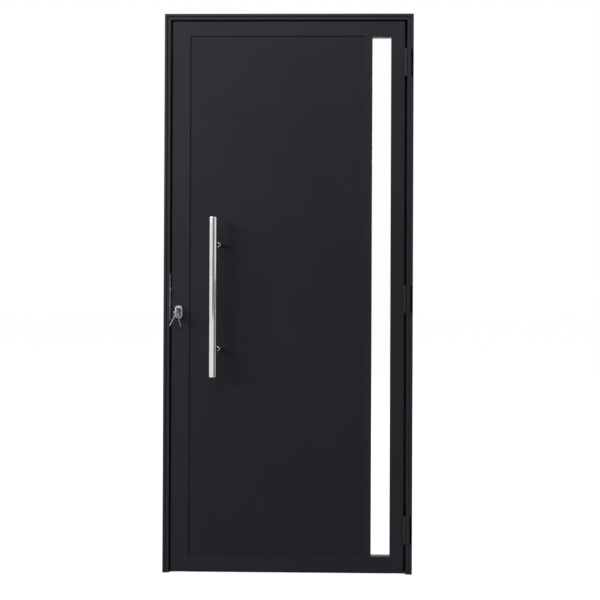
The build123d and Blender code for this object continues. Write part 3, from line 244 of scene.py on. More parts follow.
@dataclass(frozen=True)
class BareMetal(Finish):
    """Uncoated metal, polished, brushed, drawn, plated or as it left the mill.

    It gives the eye mirror-like light broken by fine lines, with slightly dull and slightly
    darker places where hands and tools have been.
    """

    dull_colour: str = "#8f8b88"
    rough_low: float = 0.10
    rough_high: float = 0.20
    grain: Grain = Grain.NONE
    line_mm: float = 0.5  # real polishing lines are under 0.1 mm, drawn coarser so that they show
    line_height: float = 0.2 * MM
    line_strength: float = 0.05
    smudge_mm: float = 30.0
    smudge_share: float = 0.25

    def dress(self, tree: bpy.types.NodeTree, shader: bpy.types.Node) -> None:
        """Lay the lines and the dull places.

        Args:
            tree: The material's node tree.
            shader: The surface shader.
        """
        place = add_node(tree, "ShaderNodeTexCoord").outputs["Object"]
        along = add_node(
            tree, "ShaderNodeMapping", None, {"Vector": place, "Scale": self.grain.value}
        ).outputs["Vector"]
        lines = add_node(
            tree, "ShaderNodeTexNoise", None,
            {"Vector": along, "Scale": per_metre(self.line_mm), "Detail": 3.0, "Roughness": 0.6},
        ).outputs["Fac"]
        smudge = add_node(
            tree, "ShaderNodeTexNoise", None,
            {"Vector": place, "Scale": per_metre(self.smudge_mm), "Detail": 5.0, "Roughness": 0.6},
        ).outputs["Fac"]
        share = add_node(
            tree, "ShaderNodeMapRange", None,
            {
                "Value": smudge, "From Min": 0.45, "From Max": 0.75,
                "To Min": 0.0, "To Max": self.smudge_share,
            },
        ).outputs["Result"]
        colour = add_node(
            tree, "ShaderNodeMix", {"data_type": "RGBA"},
            {0: share, 6: linear(self.colour), 7: linear(self.dull_colour)},
        ).outputs[2]
        blend = add_node(
            tree, "ShaderNodeMath", {"operation": "MULTIPLY"}, {0: lines, 1: smudge}
        ).outputs["Value"]
        rough = add_node(
            tree, "ShaderNodeMapRange", None,
            {
                "Value": blend, "From Min": 0.1, "From Max": 0.4,
                "To Min": self.rough_low, "To Max": self.rough_high,
            },
        ).outputs["Result"]
        bump = add_node(
            tree, "ShaderNodeBump", None,
            {"Height": lines, "Strength": self.line_strength, "Distance": self.line_height},
        ).outputs["Normal"]
        tree.links.new(colour, shader.inputs["Base Color"])
        tree.links.new(rough, shader.inputs["Roughness"])
        tree.links.new(bump, shader.inputs["Normal"])
        shader.inputs["Metallic"].default_value = 1.0


@dataclass(frozen=True)
class PaintedHighlight:
    """A painted highlight on a plate, laid where a moving piece rubs: its height, its half length and how
    bright it is.
    """

    height: float
    reach: float
    share: float


@dataclass(frozen=True)
class ShadedSteelWithHighlights(BareMetal):
    """Satin steel that other pieces slide against, in darker colours than the lock's steel: painted shade
    for a plate deep in the jamb.

    It gives the eye a dull grey strip with short painted highlights where the roller and the bolt rub.
    """

    highlight_colour: str = "#bdbcc0"
    highlights: tuple[PaintedHighlight, ...] = ()

    def dress(self, tree: bpy.types.NodeTree, shader: bpy.types.Node) -> None:
        """Lay the metal and paint highlights on it where the roller and the bolt rub.

        Args:
            tree: The material's node tree.
            shader: The surface shader.
        """
        super().dress(tree, shader)
        colour = shader.inputs["Base Color"].links[0].from_socket
        place = add_node(tree, "ShaderNodeTexCoord").outputs["Object"]
        height = add_node(tree, "ShaderNodeSeparateXYZ", None, {"Vector": place}).outputs["Z"]
        # Painted highlights: the colour brightens in short bands at these heights.
        for highlight in self.highlights:
            offset = add_node(
                tree, "ShaderNodeMath", {"operation": "SUBTRACT"}, {0: height, 1: highlight.height}
            ).outputs["Value"]
            away = add_node(
                tree, "ShaderNodeMath", {"operation": "ABSOLUTE"}, {0: offset}
            ).outputs["Value"]
            share = add_node(
                tree, "ShaderNodeMapRange", {"interpolation_type": "SMOOTHSTEP"},
                {"Value": away, "From Max": highlight.reach, "To Min": highlight.share, "To Max": 0.0},
            ).outputs["Result"]
            colour = add_node(
                tree, "ShaderNodeMix", {"data_type": "RGBA"},
                {0: share, 6: colour, 7: linear(self.highlight_colour)},
            ).outputs[2]
        tree.links.new(colour, shader.inputs["Base Color"])


@dataclass(frozen=True)
class MattBlack(Finish):
    """Extruded EPDM rubber or drawn nylon fibre.

    It gives the eye a flat black that takes almost no light, with a dusty bloom in patches.
    """

    bloom_colour: str = "#2a2a2b"
    rough: float = 0.78
    grain: Grain = Grain.NONE
    grain_mm: float = 0.6
    grain_depth: float = 0.2 * MM
    grain_strength: float = 0.3
    bloom_mm: float = 45.0
    specular: float = 0.3

    def dress(self, tree: bpy.types.NodeTree, shader: bpy.types.Node) -> None:
        """Lay the bloom and the skin of the rubber or the run of the fibres.

        Args:
            tree: The material's node tree.
            shader: The surface shader.
        """
        place = add_node(tree, "ShaderNodeTexCoord").outputs["Object"]
        along = add_node(
            tree, "ShaderNodeMapping", None, {"Vector": place, "Scale": self.grain.value}
        ).outputs["Vector"]
        skin = add_node(
            tree, "ShaderNodeTexNoise", None,
            {"Vector": along, "Scale": per_metre(self.grain_mm), "Detail": 2.0},
        ).outputs["Fac"]
        bloom = add_node(
            tree, "ShaderNodeTexNoise", None,
            {"Vector": place, "Scale": per_metre(self.bloom_mm), "Detail": 4.0},
        ).outputs["Fac"]
        colour = add_node(
            tree, "ShaderNodeMix", {"data_type": "RGBA"},
            {0: bloom, 6: linear(self.colour), 7: linear(self.bloom_colour)},
        ).outputs[2]
        bump = add_node(
            tree, "ShaderNodeBump", None,
            {"Height": skin, "Strength": self.grain_strength, "Distance": self.grain_depth},
        ).outputs["Normal"]
        tree.links.new(colour, shader.inputs["Base Color"])
        tree.links.new(bump, shader.inputs["Normal"])
        shader.inputs["Roughness"].default_value = self.rough
        shader.inputs["Specular IOR Level"].default_value = self.specular


@dataclass(frozen=True)
class FloatGlass(Finish):
    """Clear float glass.

    It gives the eye a clean view through, a thin reflection of the room, and a faint film
    left by wiping.
    """

    film_mm: float = 120.0
    film_rough: float = 0.03
    ior: float = 1.52

    def dress(self, tree: bpy.types.NodeTree, shader: bpy.types.Node) -> None:
        """Let the light through and lay the wiping film.

        Args:
            tree: The material's node tree.
            shader: The surface shader.
        """
        place = add_node(tree, "ShaderNodeTexCoord").outputs["Object"]
        film = add_node(
            tree, "ShaderNodeTexNoise", None,
            {"Vector": place, "Scale": per_metre(self.film_mm), "Detail": 5.0},
        ).outputs["Fac"]
        rough = add_node(
            tree, "ShaderNodeMapRange", None,
            {"Value": film, "From Min": 0.45, "From Max": 0.8, "To Min": 0.0, "To Max": self.film_rough},
        ).outputs["Result"]
        super().dress(tree, shader)
        tree.links.new(rough, shader.inputs["Roughness"])
        shader.inputs["Transmission Weight"].default_value = 1.0
        shader.inputs["IOR"].default_value = self.ior


@dataclass(frozen=True)
class RigidFoam(Finish):
    """Cut polyurethane foam.

    It gives the eye a pale yellow matt surface, pitted with open cells, with painted shade darkening the
    pits.
    """

    cell_mm: float = 1.5  # real cells are about 0.3 mm, drawn coarser so that they show
    cell_depth: float = 0.4 * MM
    cell_strength: float = 0.5
    pit_shade_colour: str = "#a89a6c"
    rough: float = 0.9

    def dress(self, tree: bpy.types.NodeTree, shader: bpy.types.Node) -> None:
        """Lay the open cells and the painted shade in them.

        Args:
            tree: The material's node tree.
            shader: The surface shader.
        """
        place = add_node(tree, "ShaderNodeTexCoord").outputs["Object"]
        cells = add_node(
            tree, "ShaderNodeTexVoronoi", None, {"Vector": place, "Scale": per_metre(self.cell_mm)}
        ).outputs["Distance"]
        # Painted shade: the colour darkens towards the bottom of each pit.
        colour = add_node(
            tree, "ShaderNodeMix", {"data_type": "RGBA"},
            {0: cells, 6: linear(self.pit_shade_colour), 7: linear(self.colour)},
        ).outputs[2]
        bump = add_node(
            tree, "ShaderNodeBump", None,
            {"Height": cells, "Strength": self.cell_strength, "Distance": self.cell_depth},
        ).outputs["Normal"]
        tree.links.new(colour, shader.inputs["Base Color"])
        tree.links.new(bump, shader.inputs["Normal"])
        shader.inputs["Roughness"].default_value = self.rough


FINISHES: dict[str, Finish] = {
    "frame_paint": PowderCoat(
        "satin_black_powder_coat_frame", "#2b2c30", worn_colour="#37393f", specular=0.10
    ),
    "leaf_paint": PowderCoat(
        "satin_black_powder_coat_leaf", "#292a2f", worn_colour="#33353b", specular=0.07
    ),
    "panel_paint": PowderCoat(
        "satin_black_powder_coat_panel", "#282a2e", worn_colour="#313439",
        sheen_low=0.42, sheen_high=0.52, specular=0.05,
    ),
    "hinge_paint": PowderCoat(
        "satin_black_powder_coat_hinge", "#27282c", worn_colour="#323438",
        sheen_low=0.34, sheen_high=0.44, specular=0.14,
    ),
    "mill_aluminium": BareMetal(
        "mill_aluminium", "#d6d8da", dull_colour="#a4a6a8", rough_low=0.28, rough_high=0.42,
        grain=Grain.ALONG_X, line_mm=0.6, line_strength=0.12,
    ),
    "seal_rubber": MattBlack("epdm_rubber", "#121213", bloom_colour="#262627", rough=0.80),
    "brush_fibre": MattBlack(
        "nylon_brush_fibre", "#141415", bloom_colour="#2c2c2d", rough=0.62,
        grain=Grain.ALONG_Z, grain_mm=0.4,
    ),
    "panel_foam": RigidFoam("polyurethane_foam", "#e6d7ab"),
    "clear_glass": FloatGlass("clear_float_glass", "#fcfefd"),
    "polished_steel": BareMetal(
        "polished_stainless_steel", "#dfdbda", dull_colour="#b8aeac", rough_low=0.07, rough_high=0.14,
        grain=Grain.ALONG_Z, line_mm=0.4, line_strength=0.03, smudge_mm=40.0, smudge_share=0.3,
    ),
    "lock_steel": BareMetal(
        "satin_stainless_steel", "#b4b3b7", dull_colour="#58575b", rough_low=0.30, rough_high=0.44,
        grain=Grain.ALONG_Z, line_mm=0.4, line_strength=0.08, smudge_mm=18.0, smudge_share=0.65,
    ),
    # Painted shade and painted highlights: the strike's colours are darker than the lock steel's, and its
    # bright bands stand in for glints.
    "shaded_strike_steel": ShadedSteelWithHighlights(
        "satin_stainless_steel_painted_shade", "#87868a", dull_colour="#434246", rough_low=0.30, rough_high=0.44,
        grain=Grain.ALONG_Z, line_mm=0.4, line_strength=0.08, smudge_mm=18.0, smudge_share=0.65,
        highlights=(
            PaintedHighlight(height=1.090, reach=0.010, share=1.0),
            PaintedHighlight(height=1.072, reach=0.005, share=0.8),
            PaintedHighlight(height=1.040, reach=0.034, share=0.5),
        ),
    ),
    "screw_steel": BareMetal(
        "zinc_plated_steel", "#c3c5c4", dull_colour="#8f9294", rough_low=0.26, rough_high=0.40,
        line_strength=0.06, smudge_mm=6.0, smudge_share=0.4,
    ),
    "cylinder_nickel": BareMetal(
        "satin_nickel_plate", "#7d7a7f", dull_colour="#4d4b4f", rough_low=0.22, rough_high=0.34,
        grain=Grain.ALONG_X, line_mm=0.3, line_strength=0.06, smudge_mm=8.0, smudge_share=0.4,
    ),
    "key_nickel": BareMetal(
        "nickel_silver_key", "#b2b0b4", dull_colour="#68666a", rough_low=0.22, rough_high=0.36,
        grain=Grain.ALONG_X, line_mm=0.3, line_strength=0.10, smudge_mm=9.0, smudge_share=0.6,
    ),
    "spring_steel": BareMetal(
        "drawn_spring_steel", "#a8a9ab", dull_colour="#6b6c6f", rough_low=0.24, rough_high=0.36,
        grain=Grain.ALONG_X, line_mm=0.3, line_strength=0.05, smudge_mm=5.0, smudge_share=0.4,
    ),
}


class FinishStore:
    """The materials that have been made so far, one for each finish."""

    def __init__(self) -> None:
        """Start with no material made."""
        self.made: dict[str, bpy.types.Material] = {}

    def get(self, finish: str) -> bpy.types.Material:
        """Give a finish's material, made when it is first asked for.

        Args:
            finish: A material slot of the record, or the name of another finish.

        Returns:
            The material of that finish.
        """
        if finish not in self.made:
            self.made[finish] = FINISHES[finish].material()
        return self.made[finish]


STORE = FinishStore()


# Modelling helpers


def select_verts(piece: bpy.types.Object, wanted: Callable[[Vector], bool]) -> None:
    """Go into edit mode with the points selected whose place is wanted, and what they enclose.

    Args:
        piece: The mesh object.
        wanted: A test of a point's place.
    """
    if bpy.context.mode != "OBJECT":
        bpy.ops.object.mode_set(mode="OBJECT")
    bpy.context.view_layer.objects.active = piece
    for vertex in piece.data.vertices:
        vertex.select = bool(wanted(vertex.co))
    for edge in piece.data.edges:
        edge.select = all(piece.data.vertices[at].select for at in edge.vertices)
    for face in piece.data.polygons:
        face.select = all(piece.data.vertices[at].select for at in face.vertices)
    bpy.ops.object.mode_set(mode="EDIT")
    bpy.ops.mesh.select_mode(type="VERT")


def outward(piece: bpy.types.Object) -> None:
    """Merge doubled points and turn every face of a closed piece outwards.

    Args:
        piece: The mesh object.
    """
    select_verts(piece, lambda at: True)
    bpy.ops.mesh.remove_doubles(threshold=MERGE_GAP)
    bpy.ops.mesh.normals_make_consistent(inside=False)
    bpy.ops.object.mode_set(mode="OBJECT")


def select_only(*pieces: bpy.types.Object) -> None:
    """Select these pieces and no other object, and make the first one active.

    Args:
        pieces: The mesh objects.
    """
    deselect_all()
    for piece in pieces:
        piece.select_set(True)
    bpy.context.view_layer.objects.active = pieces[0]


def smooth(piece: bpy.types.Object) -> None:
    """Shade a piece smooth and keep its sharp edges.

    Args:
        piece: The mesh object.
    """
    select_only(piece)
    bpy.ops.object.shade_smooth_by_angle(angle=SHARP_ANGLE)


def join(*pieces: bpy.types.Object) -> bpy.types.Object:
    """Join pieces into the first one.

    Args:
        pieces: The mesh objects.

    Returns:
        The first piece, which now holds them all.
    """
    select_only(*pieces)
    bpy.ops.object.join()
    return pieces[0]


def wire_coil(
    name: str, path_radius: float, wire_radius: float, turns: float, rise: float
) -> bpy.types.Object:
    """Screw a wire's round section about the upright and close its two ends.

    Args:
        name: The new piece's name.
        path_radius: Radius of the coil at the middle of the wire.
        wire_radius: Radius of the wire.
        turns: How many turns the coil has.
        rise: How far the wire climbs from its first end to its last.

    Returns:
        The coil, with its first end level with the origin.
    """
    deselect_all()
    bpy.ops.mesh.primitive_circle_add(
        vertices=WIRE_SIDES, radius=wire_radius, fill_type="NOTHING", location=(path_radius, 0, 0),
        rotation=(math.pi / 2, 0, 0),
    )
    wire = bpy.context.object
    wire.name = name
    bpy.ops.object.transform_apply(location=True, rotation=True, scale=True)
    coil = wire.modifiers.new("coil", "SCREW")
    coil.axis = "Z"
    coil.angle = math.tau * turns
    coil.screw_offset = rise
    coil.steps = int(WIRE_STEPS_PER_TURN * turns)
    coil.render_steps = coil.steps
    coil.use_merge_vertices = False
    bpy.ops.object.modifier_apply(modifier=coil.name)
    bpy.ops.object.mode_set(mode="EDIT")
    bpy.ops.mesh.select_all(action="DESELECT")
    bpy.ops.mesh.select_mode(type="VERT")
    bpy.ops.mesh.select_non_manifold()
    bpy.ops.mesh.fill_holes(sides=WIRE_SIDES)
    bpy.ops.object.mode_set(mode="OBJECT")
    return wire


# Sub-assemblies


@dataclass
class SubAssembly:
    """Nodes of the model that belong together on one body, and the slot of each."""

    body: str
    nodes: tuple[str, ...] = ()

    def slot_of(self, node: str) -> str:
        """Look up a node's material slot in the record.

        Args:
            node: The node's name.

        Returns:
            The slot's name.
        """
        return next(
            part["material_slot"] for part in frame["record"]["subparts"] if part["node"] == node
        )

    def dress(self, node: str, finish: str) -> None:
        """Put a finish on a node.

        Args:
            node: The node's name.
            finish: The finish's name.
        """
        for holder in frame["nodes"][node].material_slots:
            holder.material = STORE.get(finish)
        log.info("dressed %s with %s", node, finish)

    def dress_nodes(self) -> None:
        """Put the finish of its slot on each node."""
        for node in self.nodes:
            self.dress(node, self.slot_of(node))

    def settle(self, piece: bpy.types.Object, *nodes: str) -> None:
        """Name what a new piece stands for, and let it ride on this body with that finish.

        Args:
            piece: The new piece.
            nodes: The nodes that it replaces.
        """
        slot = self.slot_of(nodes[0])
        piece.data.materials.clear()
        piece.data.materials.append(STORE.get(slot))
        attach(piece, self.body)
        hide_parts(*nodes)
        log.info("modelled %s in place of %s", piece.name, ", ".join(nodes))

    def build(self) -> None:
        """Dress the nodes; a sub-assembly with new pieces models them too."""
        self.dress_nodes()


@dataclass
class FrameSet(SubAssembly):
    """The three mitred frame lengths with their cleats, seals and strike."""

    body: str = "frame"
    nodes: tuple[str, ...] = (
        "frame_head", "lock_jamb", "hinge_jamb", "frame_corner_cleats", "stop_seals", "strike_screws",
    )

    def build(self) -> None:
        """Dress the nodes, and the strike with its painted shade and its painted highlights where the
        roller and the bolt rub.
        """
        self.dress_nodes()
        self.dress("strike_plate", "shaded_strike_steel")


@dataclass
class FrameHingeSet(SubAssembly):
    """The hinge halves on the frame, with pins and screws."""

    body: str = "frame"
    nodes: tuple[str, ...] = (
        "hinge_pins", "hinge_frame_screws", "bottom_hinge_frame_flap", "middle_hinge_frame_flap",
        "top_hinge_frame_flap",
    )


@dataclass
class LeafHingeSet(SubAssembly):
    """The hinge halves on the leaf, with washers and screws."""

    body: str = "leaf"
    nodes: tuple[str, ...] = (
        "hinge_washers", "hinge_leaf_screws", "bottom_hinge_leaf_flap", "middle_hinge_leaf_flap",
        "top_hinge_leaf_flap",
    )


@dataclass
class LeafSet(SubAssembly):
    """The stiles, rails and mullion of the leaf with the spigots in their corners."""

    body: str = "leaf"
    nodes: tuple[str, ...] = (
        "lock_stile", "hinge_stile", "top_rail", "bottom_rail", "mullion", "rail_spigots",
    )


@dataclass
class Infill(SubAssembly):
    """The panel and the glass, with the gaskets and beads that hold them."""

    body: str = "leaf"
    nodes: tuple[str, ...] = (
        "panel_front_sheet", "panel_core", "panel_back_sheet", "glass_pane", "panel_gaskets",
        "glass_gaskets", "panel_side_beads", "panel_end_beads", "glass_side_beads", "glass_end_beads",
    )


@dataclass
class LockSet(SubAssembly):
    """The mortice lock, its cylinder and the two covers."""

    body: str = "leaf"
    nodes: tuple[str, ...] = (
        "lock_forend", "lock_case", "forend_screws", "cylinder_body", "rear_plug", "cylinder_screw",
        "front_escutcheon", "back_escutcheon",
    )


@dataclass
class Latch(SubAssembly):
    """The sprung latch carriage and the pin of its roller."""

    body: str = "latch"
    nodes: tuple[str, ...] = ("latch_carriage", "roller_pin")


@dataclass
class LatchSpring(SubAssembly):
    """The coil between the latch carriage and the lock case, which shortens as the latch goes in."""

    body: str = "leaf"
    wire_radius: float = 0.6 * MM
    turns: float = 6.0
    travel: float = 4.5 * MM

    def build(self) -> None:
        """Model the coil along its rod."""
        low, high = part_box("latch_spring")
        middle = (low + high) / 2
        length = high.x - low.x
        coil = wire_coil(
            "latch_spring_coil", (high.z - low.z) / 2 - self.wire_radius, self.wire_radius, self.turns,
            length - 2 * self.wire_radius,
        )
        start = Vector((low.x + self.wire_radius, middle.y, middle.z))
        coil.data.transform(Matrix.Translation(start) @ Matrix.Rotation(math.pi / 2, 4, "Y"))
        outward(coil)
        smooth(coil)
        self.settle(coil, "latch_spring")
        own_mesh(coil)


@dataclass
class Roller(SubAssembly):
    """The roller of the latch."""

    body: str = "roller"
    nodes: tuple[str, ...] = ("latch_roller",)


@dataclass
class Deadbolt(SubAssembly):
    """The bolt that the key throws."""

    body: str = "deadbolt"
    nodes: tuple[str, ...] = ("deadbolt",)


@dataclass
class PullHandle(SubAssembly):
    """The polished tube with capped ends on two collared posts."""

    body: str = "leaf"
    nodes: tuple[str, ...] = ("pull_bolts",)
    sides: int = 96
    post_sides: int = 48
    wall: float = 1.5 * MM
    cap_round: float = 1.4 * MM
    seam: float = 0.15 * MM
    collar: float = 3.0 * MM
    collar_round: float = 0.8 * MM
    post_radius: float = 6.5 * MM
    sunk: float = 3.0 * MM

    def build_tube(self) -> None:
        """Model the tube: an open cylinder whose rims turn in over the wall."""
        low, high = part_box("pull_tube")
        middle = (low + high) / 2
        radius = (high.x - low.x) / 2
        deselect_all()
        bpy.ops.mesh.primitive_cylinder_add(
            vertices=self.sides, radius=radius, depth=high.z - low.z, end_fill_type="NOTHING",
            location=middle,
        )
        tube = bpy.context.object
        tube.name = "pull_tube_polished"
        bpy.ops.object.transform_apply(location=True, rotation=True, scale=True)
        for level in (low.z, high.z):
            select_verts(tube, lambda at: abs(at.z - level) < self.seam)
            for step in (self.seam, self.wall):
                inward = 1 - step / radius
                bpy.ops.mesh.extrude_region_move()
                bpy.ops.transform.resize(
                    value=(inward, inward, 1.0), center_override=(middle.x, middle.y, level)
                )
        bpy.ops.object.mode_set(mode="OBJECT")
        smooth(tube)
        self.settle(tube, "pull_tube")

    def build_caps(self) -> None:
        """Model one end cap with a rounded rim and a turned face, and mirror it to the other end."""
        low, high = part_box("pull_end_caps")
        centre = (low + high) / 2
        radius = (high.x - low.x) / 2
        thick = high.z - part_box("pull_tube")[1].z
        deselect_all()
        bpy.ops.mesh.primitive_cylinder_add(
            vertices=self.sides, radius=radius, depth=thick,
            location=(centre.x, centre.y, high.z - thick / 2),
        )
        cap = bpy.context.object
        cap.name = "pull_caps_polished"
        bpy.ops.object.transform_apply(location=True, rotation=True, scale=True)
        select_verts(cap, lambda at: at.z > high.z - thick / 2)
        bpy.ops.mesh.bevel(offset=self.cap_round, segments=5, affect="EDGES")
        select_verts(cap, lambda at: at.z > high.z - self.seam)
        bpy.ops.mesh.inset(thickness=self.wall * 3, depth=-self.seam)
        bpy.ops.mesh.inset(thickness=self.wall, depth=self.seam)
        bpy.ops.object.mode_set(mode="OBJECT")
        select_only(cap)
        mirror = cap.modifiers.new("other_end", "MIRROR")
        mirror.use_axis = (False, False, True)
        hub = bpy.data.objects.new("cap_hub", None)
        bpy.context.scene.collection.objects.link(hub)
        hub.location = centre
        mirror.mirror_object = hub
        bpy.context.view_layer.update()
        bpy.ops.object.modifier_apply(modifier=mirror.name)
        bpy.data.objects.remove(hub)
        outward(cap)
        smooth(cap)
        self.settle(cap, "pull_end_caps")

    def build_posts(self) -> None:
        """Model one collared post from its foot on the panel to the tube, and copy it for the other."""
        low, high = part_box("pull_posts")
        collar_radius = (high.x - low.x) / 2
        middle_x = (low.x + high.x) / 2
        tip_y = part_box("pull_tube")[1].y - self.sunk
        first = self.first_post(middle_x, high.y, low.z + collar_radius, collar_radius, tip_y)
        other = first.copy()
        other.data = first.data.copy()
        bpy.context.scene.collection.objects.link(other)
        other.data.transform(Matrix.Translation((0, 0, high.z - low.z - 2 * collar_radius)))
        both = join(first, other)
        both.name = "pull_posts_polished"
        smooth(both)
        self.settle(both, "pull_posts")

    def first_post(
        self, x: float, foot_y: float, z: float, radius: float, tip_y: float
    ) -> bpy.types.Object:
        """Model a collar on the panel and draw the post out of it.

        Args:
            x: Middle of the post across the door.
            foot_y: Depth of the panel's face.
            z: Height of the post.
            radius: Radius of the collar.
            tip_y: Depth at which the post ends inside the tube.

        Returns:
            The post.
        """
        deselect_all()
        bpy.ops.mesh.primitive_cylinder_add(
            vertices=self.post_sides, radius=radius, depth=self.collar,
            location=(x, foot_y - self.collar / 2, z), rotation=(math.pi / 2, 0, 0),
        )
        post = bpy.context.object
        bpy.ops.object.transform_apply(location=True, rotation=True, scale=True)
        select_verts(post, lambda at: at.y < foot_y - self.collar / 2)
        bpy.ops.mesh.inset(thickness=radius - self.post_radius)
        bpy.ops.mesh.extrude_region_move(
            TRANSFORM_OT_translate={"value": (0, tip_y - foot_y + self.collar, 0)}
        )
        rim = (radius + self.post_radius) / 2
        select_verts(
            post,
            lambda at: abs(at.y - foot_y + self.collar) < self.seam
            and math.hypot(at.x - x, at.z - z) > rim,
        )
        bpy.ops.mesh.bevel(offset=self.collar_round, segments=4, affect="EDGES")
        bpy.ops.object.mode_set(mode="OBJECT")
        return post

    def build(self) -> None:
        """Dress the bolts and model the tube, the caps and the posts."""
        self.dress_nodes()
        self.build_tube()
        self.build_caps()
        self.build_posts()


@dataclass
class KeyBunch(SubAssembly):
    """The key in the cylinder and the split ring with two spare keys on it."""

    body: str = "key"
    nodes: tuple[str, ...] = (
        "front_plug", "cylinder_cam", "door_key", "left_spare_key", "right_spare_key",
    )
    wire_radius: float = 0.62 * MM
    turns: float = 1.94

    def build_ring(self) -> None:
        """Model the split ring: a wire's round section screwed through two close turns."""
        low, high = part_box("key_ring")
        centre = (low + high) / 2
        path_radius = (high.x - low.x) / 2 - self.wire_radius
        rise = self.wire_radius * 2 * self.turns
        ring = wire_coil("split_key_ring", path_radius, self.wire_radius, self.turns, rise)
        stand = Matrix.Translation(centre) @ Matrix.Rotation(math.pi / 2, 4, "X")
        ring.data.transform(stand @ Matrix.Translation((0, 0, -rise / 2)))
        outward(ring)
        smooth(ring)
        self.settle(ring, "key_ring")

    def build(self) -> None:
        """Dress the keys and the plug and model the ring."""
        self.dress_nodes()
        self.build_ring()


@dataclass
class BottomBrush(SubAssembly):
    """The brush strip under the bottom rail: a holder with rows of fibre tufts."""

    body: str = "leaf"
    pitch: float = 4.0 * MM
    kinds: int = 6
    rows: tuple[float, ...] = (-1.1 * MM, 0.0, 1.1 * MM)
    tuft_sides: int = 6
    tuft_radius: float = 0.95 * MM
    tuft_turn: float = 2.4  # radians from one tuft's lean to the next one's
    tip_share: float = 0.6
    tip_inset_share: float = 0.3
    tip_hollow: float = 0.2 * MM
    shift_share: float = 0.18
    lean_x: float = 0.5 * MM
    lean_y: float = 0.25 * MM
    holder_height: float = 5.0 * MM
    holder_round: float = 0.4 * MM

    def first_tufts(self, low: Vector, high: Vector) -> bpy.types.Object:
        """Model a few tufts side by side, each leaning its own way.

        Args:
            low: Lowest corner of the brush.
            high: Highest corner of the brush.

        Returns:
            One mesh that holds these tufts.
        """
        middle_y = (low.y + high.y) / 2
        top = high.z - self.holder_height / 2
        tufts = []
        for kind in range(self.kinds):
            for number, row in enumerate(self.rows):
                turn = self.tuft_turn * (kind * len(self.rows) + number)
                x = low.x + self.pitch * (kind + 0.5 + self.shift_share * math.sin(turn))
                deselect_all()
                bpy.ops.mesh.primitive_cone_add(
                    vertices=self.tuft_sides, radius1=self.tuft_radius,
                    radius2=self.tuft_radius * self.tip_share, depth=top - low.z,
                    location=(x, middle_y + row, (top + low.z) / 2),
                )
                tuft = bpy.context.object
                bpy.ops.object.transform_apply(location=True, rotation=True, scale=True)
                select_verts(tuft, lambda at: at.z < (top + low.z) / 2)
                bpy.ops.transform.translate(
                    value=(self.lean_x * math.sin(turn), self.lean_y * math.cos(turn), 0)
                )
                bpy.ops.mesh.inset(
                    thickness=self.tuft_radius * self.tip_inset_share, depth=-self.tip_hollow
                )
                bpy.ops.object.mode_set(mode="OBJECT")
                tufts.append(tuft)
        return join(*tufts)

    def build(self) -> None:
        """Model the holder, repeat the tufts along it and join the two."""
        low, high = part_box("bottom_brush")
        tufts = self.first_tufts(low, high)
        step = self.pitch * self.kinds
        row = tufts.modifiers.new("row", "ARRAY")
        row.count = int((high.x - low.x) / step)
        row.use_relative_offset = False
        row.use_constant_offset = True
        row.constant_offset_displace = ((high.x - low.x) / row.count, 0, 0)
        bpy.ops.object.modifier_apply(modifier=row.name)
        deselect_all()
        bpy.ops.mesh.primitive_cube_add(
            size=1.0, location=(
                (low.x + high.x) / 2, (low.y + high.y) / 2, high.z - self.holder_height / 2
            ),
        )
        holder = bpy.context.object
        holder.scale = (high.x - low.x, high.y - low.y, self.holder_height)
        bpy.ops.object.transform_apply(location=True, rotation=True, scale=True)
        select_verts(holder, lambda at: True)
        bpy.ops.mesh.bevel(offset=self.holder_round, segments=2, affect="EDGES")
        bpy.ops.object.mode_set(mode="OBJECT")
        join(holder, tufts)
        holder.name = "fibre_brush_strip"
        outward(holder)
        smooth(holder)
        self.settle(holder, "bottom_brush")


# Stage


@dataclass
class PhotoCamera:
    """The camera at the photograph's viewing angle, from lines measured in its 600 pixel frame.

    The angles are in degrees.
    """

    place: tuple[float, float, float] = (0.461, -2.300, 1.100)
    yaw: float = 0.63
    pitch: float = 0.19
    roll: float = 0.21
    focal_px: float = 598.7
    centre_px: tuple[float, float] = (401.4, 285.0)
    frame_px: float = 600.0
    sensor: float = 36.0
    nearest: float = 0.01

    def build(self) -> None:
        """Make the camera and set it as the scene's."""
        yaw, pitch, roll = (math.radians(angle) for angle in (self.yaw, self.pitch, self.roll))
        ahead = Vector(
            (-math.sin(yaw) * math.cos(pitch), math.cos(yaw) * math.cos(pitch), math.sin(pitch))
        )
        right = ahead.cross(Vector((0, 0, 1))).normalized()
        above = right.cross(ahead)
        tilted_right = right * math.cos(roll) + above * math.sin(roll)
        tilted_above = above * math.cos(roll) - right * math.sin(roll)
        data = bpy.data.cameras.new("photo_camera")
        data.sensor_width = self.sensor
        data.lens = self.focal_px / self.frame_px * self.sensor
        data.shift_x = (self.frame_px / 2 - self.centre_px[0]) / self.frame_px
        data.shift_y = (self.centre_px[1] - self.frame_px / 2) / self.frame_px
        data.clip_start = self.nearest
        camera = bpy.data.objects.new("photo_camera", data)
        turn = Matrix((tilted_right, tilted_above, -ahead)).transposed()
        camera.matrix_world = Matrix.Translation(self.place) @ turn.to_4x4()
        bpy.context.scene.collection.objects.link(camera)
        bpy.context.scene.camera = camera
        log.info("placed the camera")


@dataclass
class SoftBox:
    """One broad lamp."""

    name: str
    place: tuple[float, float, float]
    aim: tuple[float, float, float]
    width: float
    height: float
    watts: float

    def build(self) -> None:
        """Make the lamp and turn it to its aim."""
        data = bpy.data.lights.new(self.name, "AREA")
        data.shape = "RECTANGLE"
        data.size = self.width
        data.size_y = self.height
        data.energy = self.watts
        lamp = bpy.data.objects.new(self.name, data)
        lamp.location = self.place
        way = Vector(self.aim) - Vector(self.place)
        lamp.rotation_euler = way.to_track_quat("-Z", "Y").to_euler()
        lamp.visible_camera = False
        bpy.context.scene.collection.objects.link(lamp)


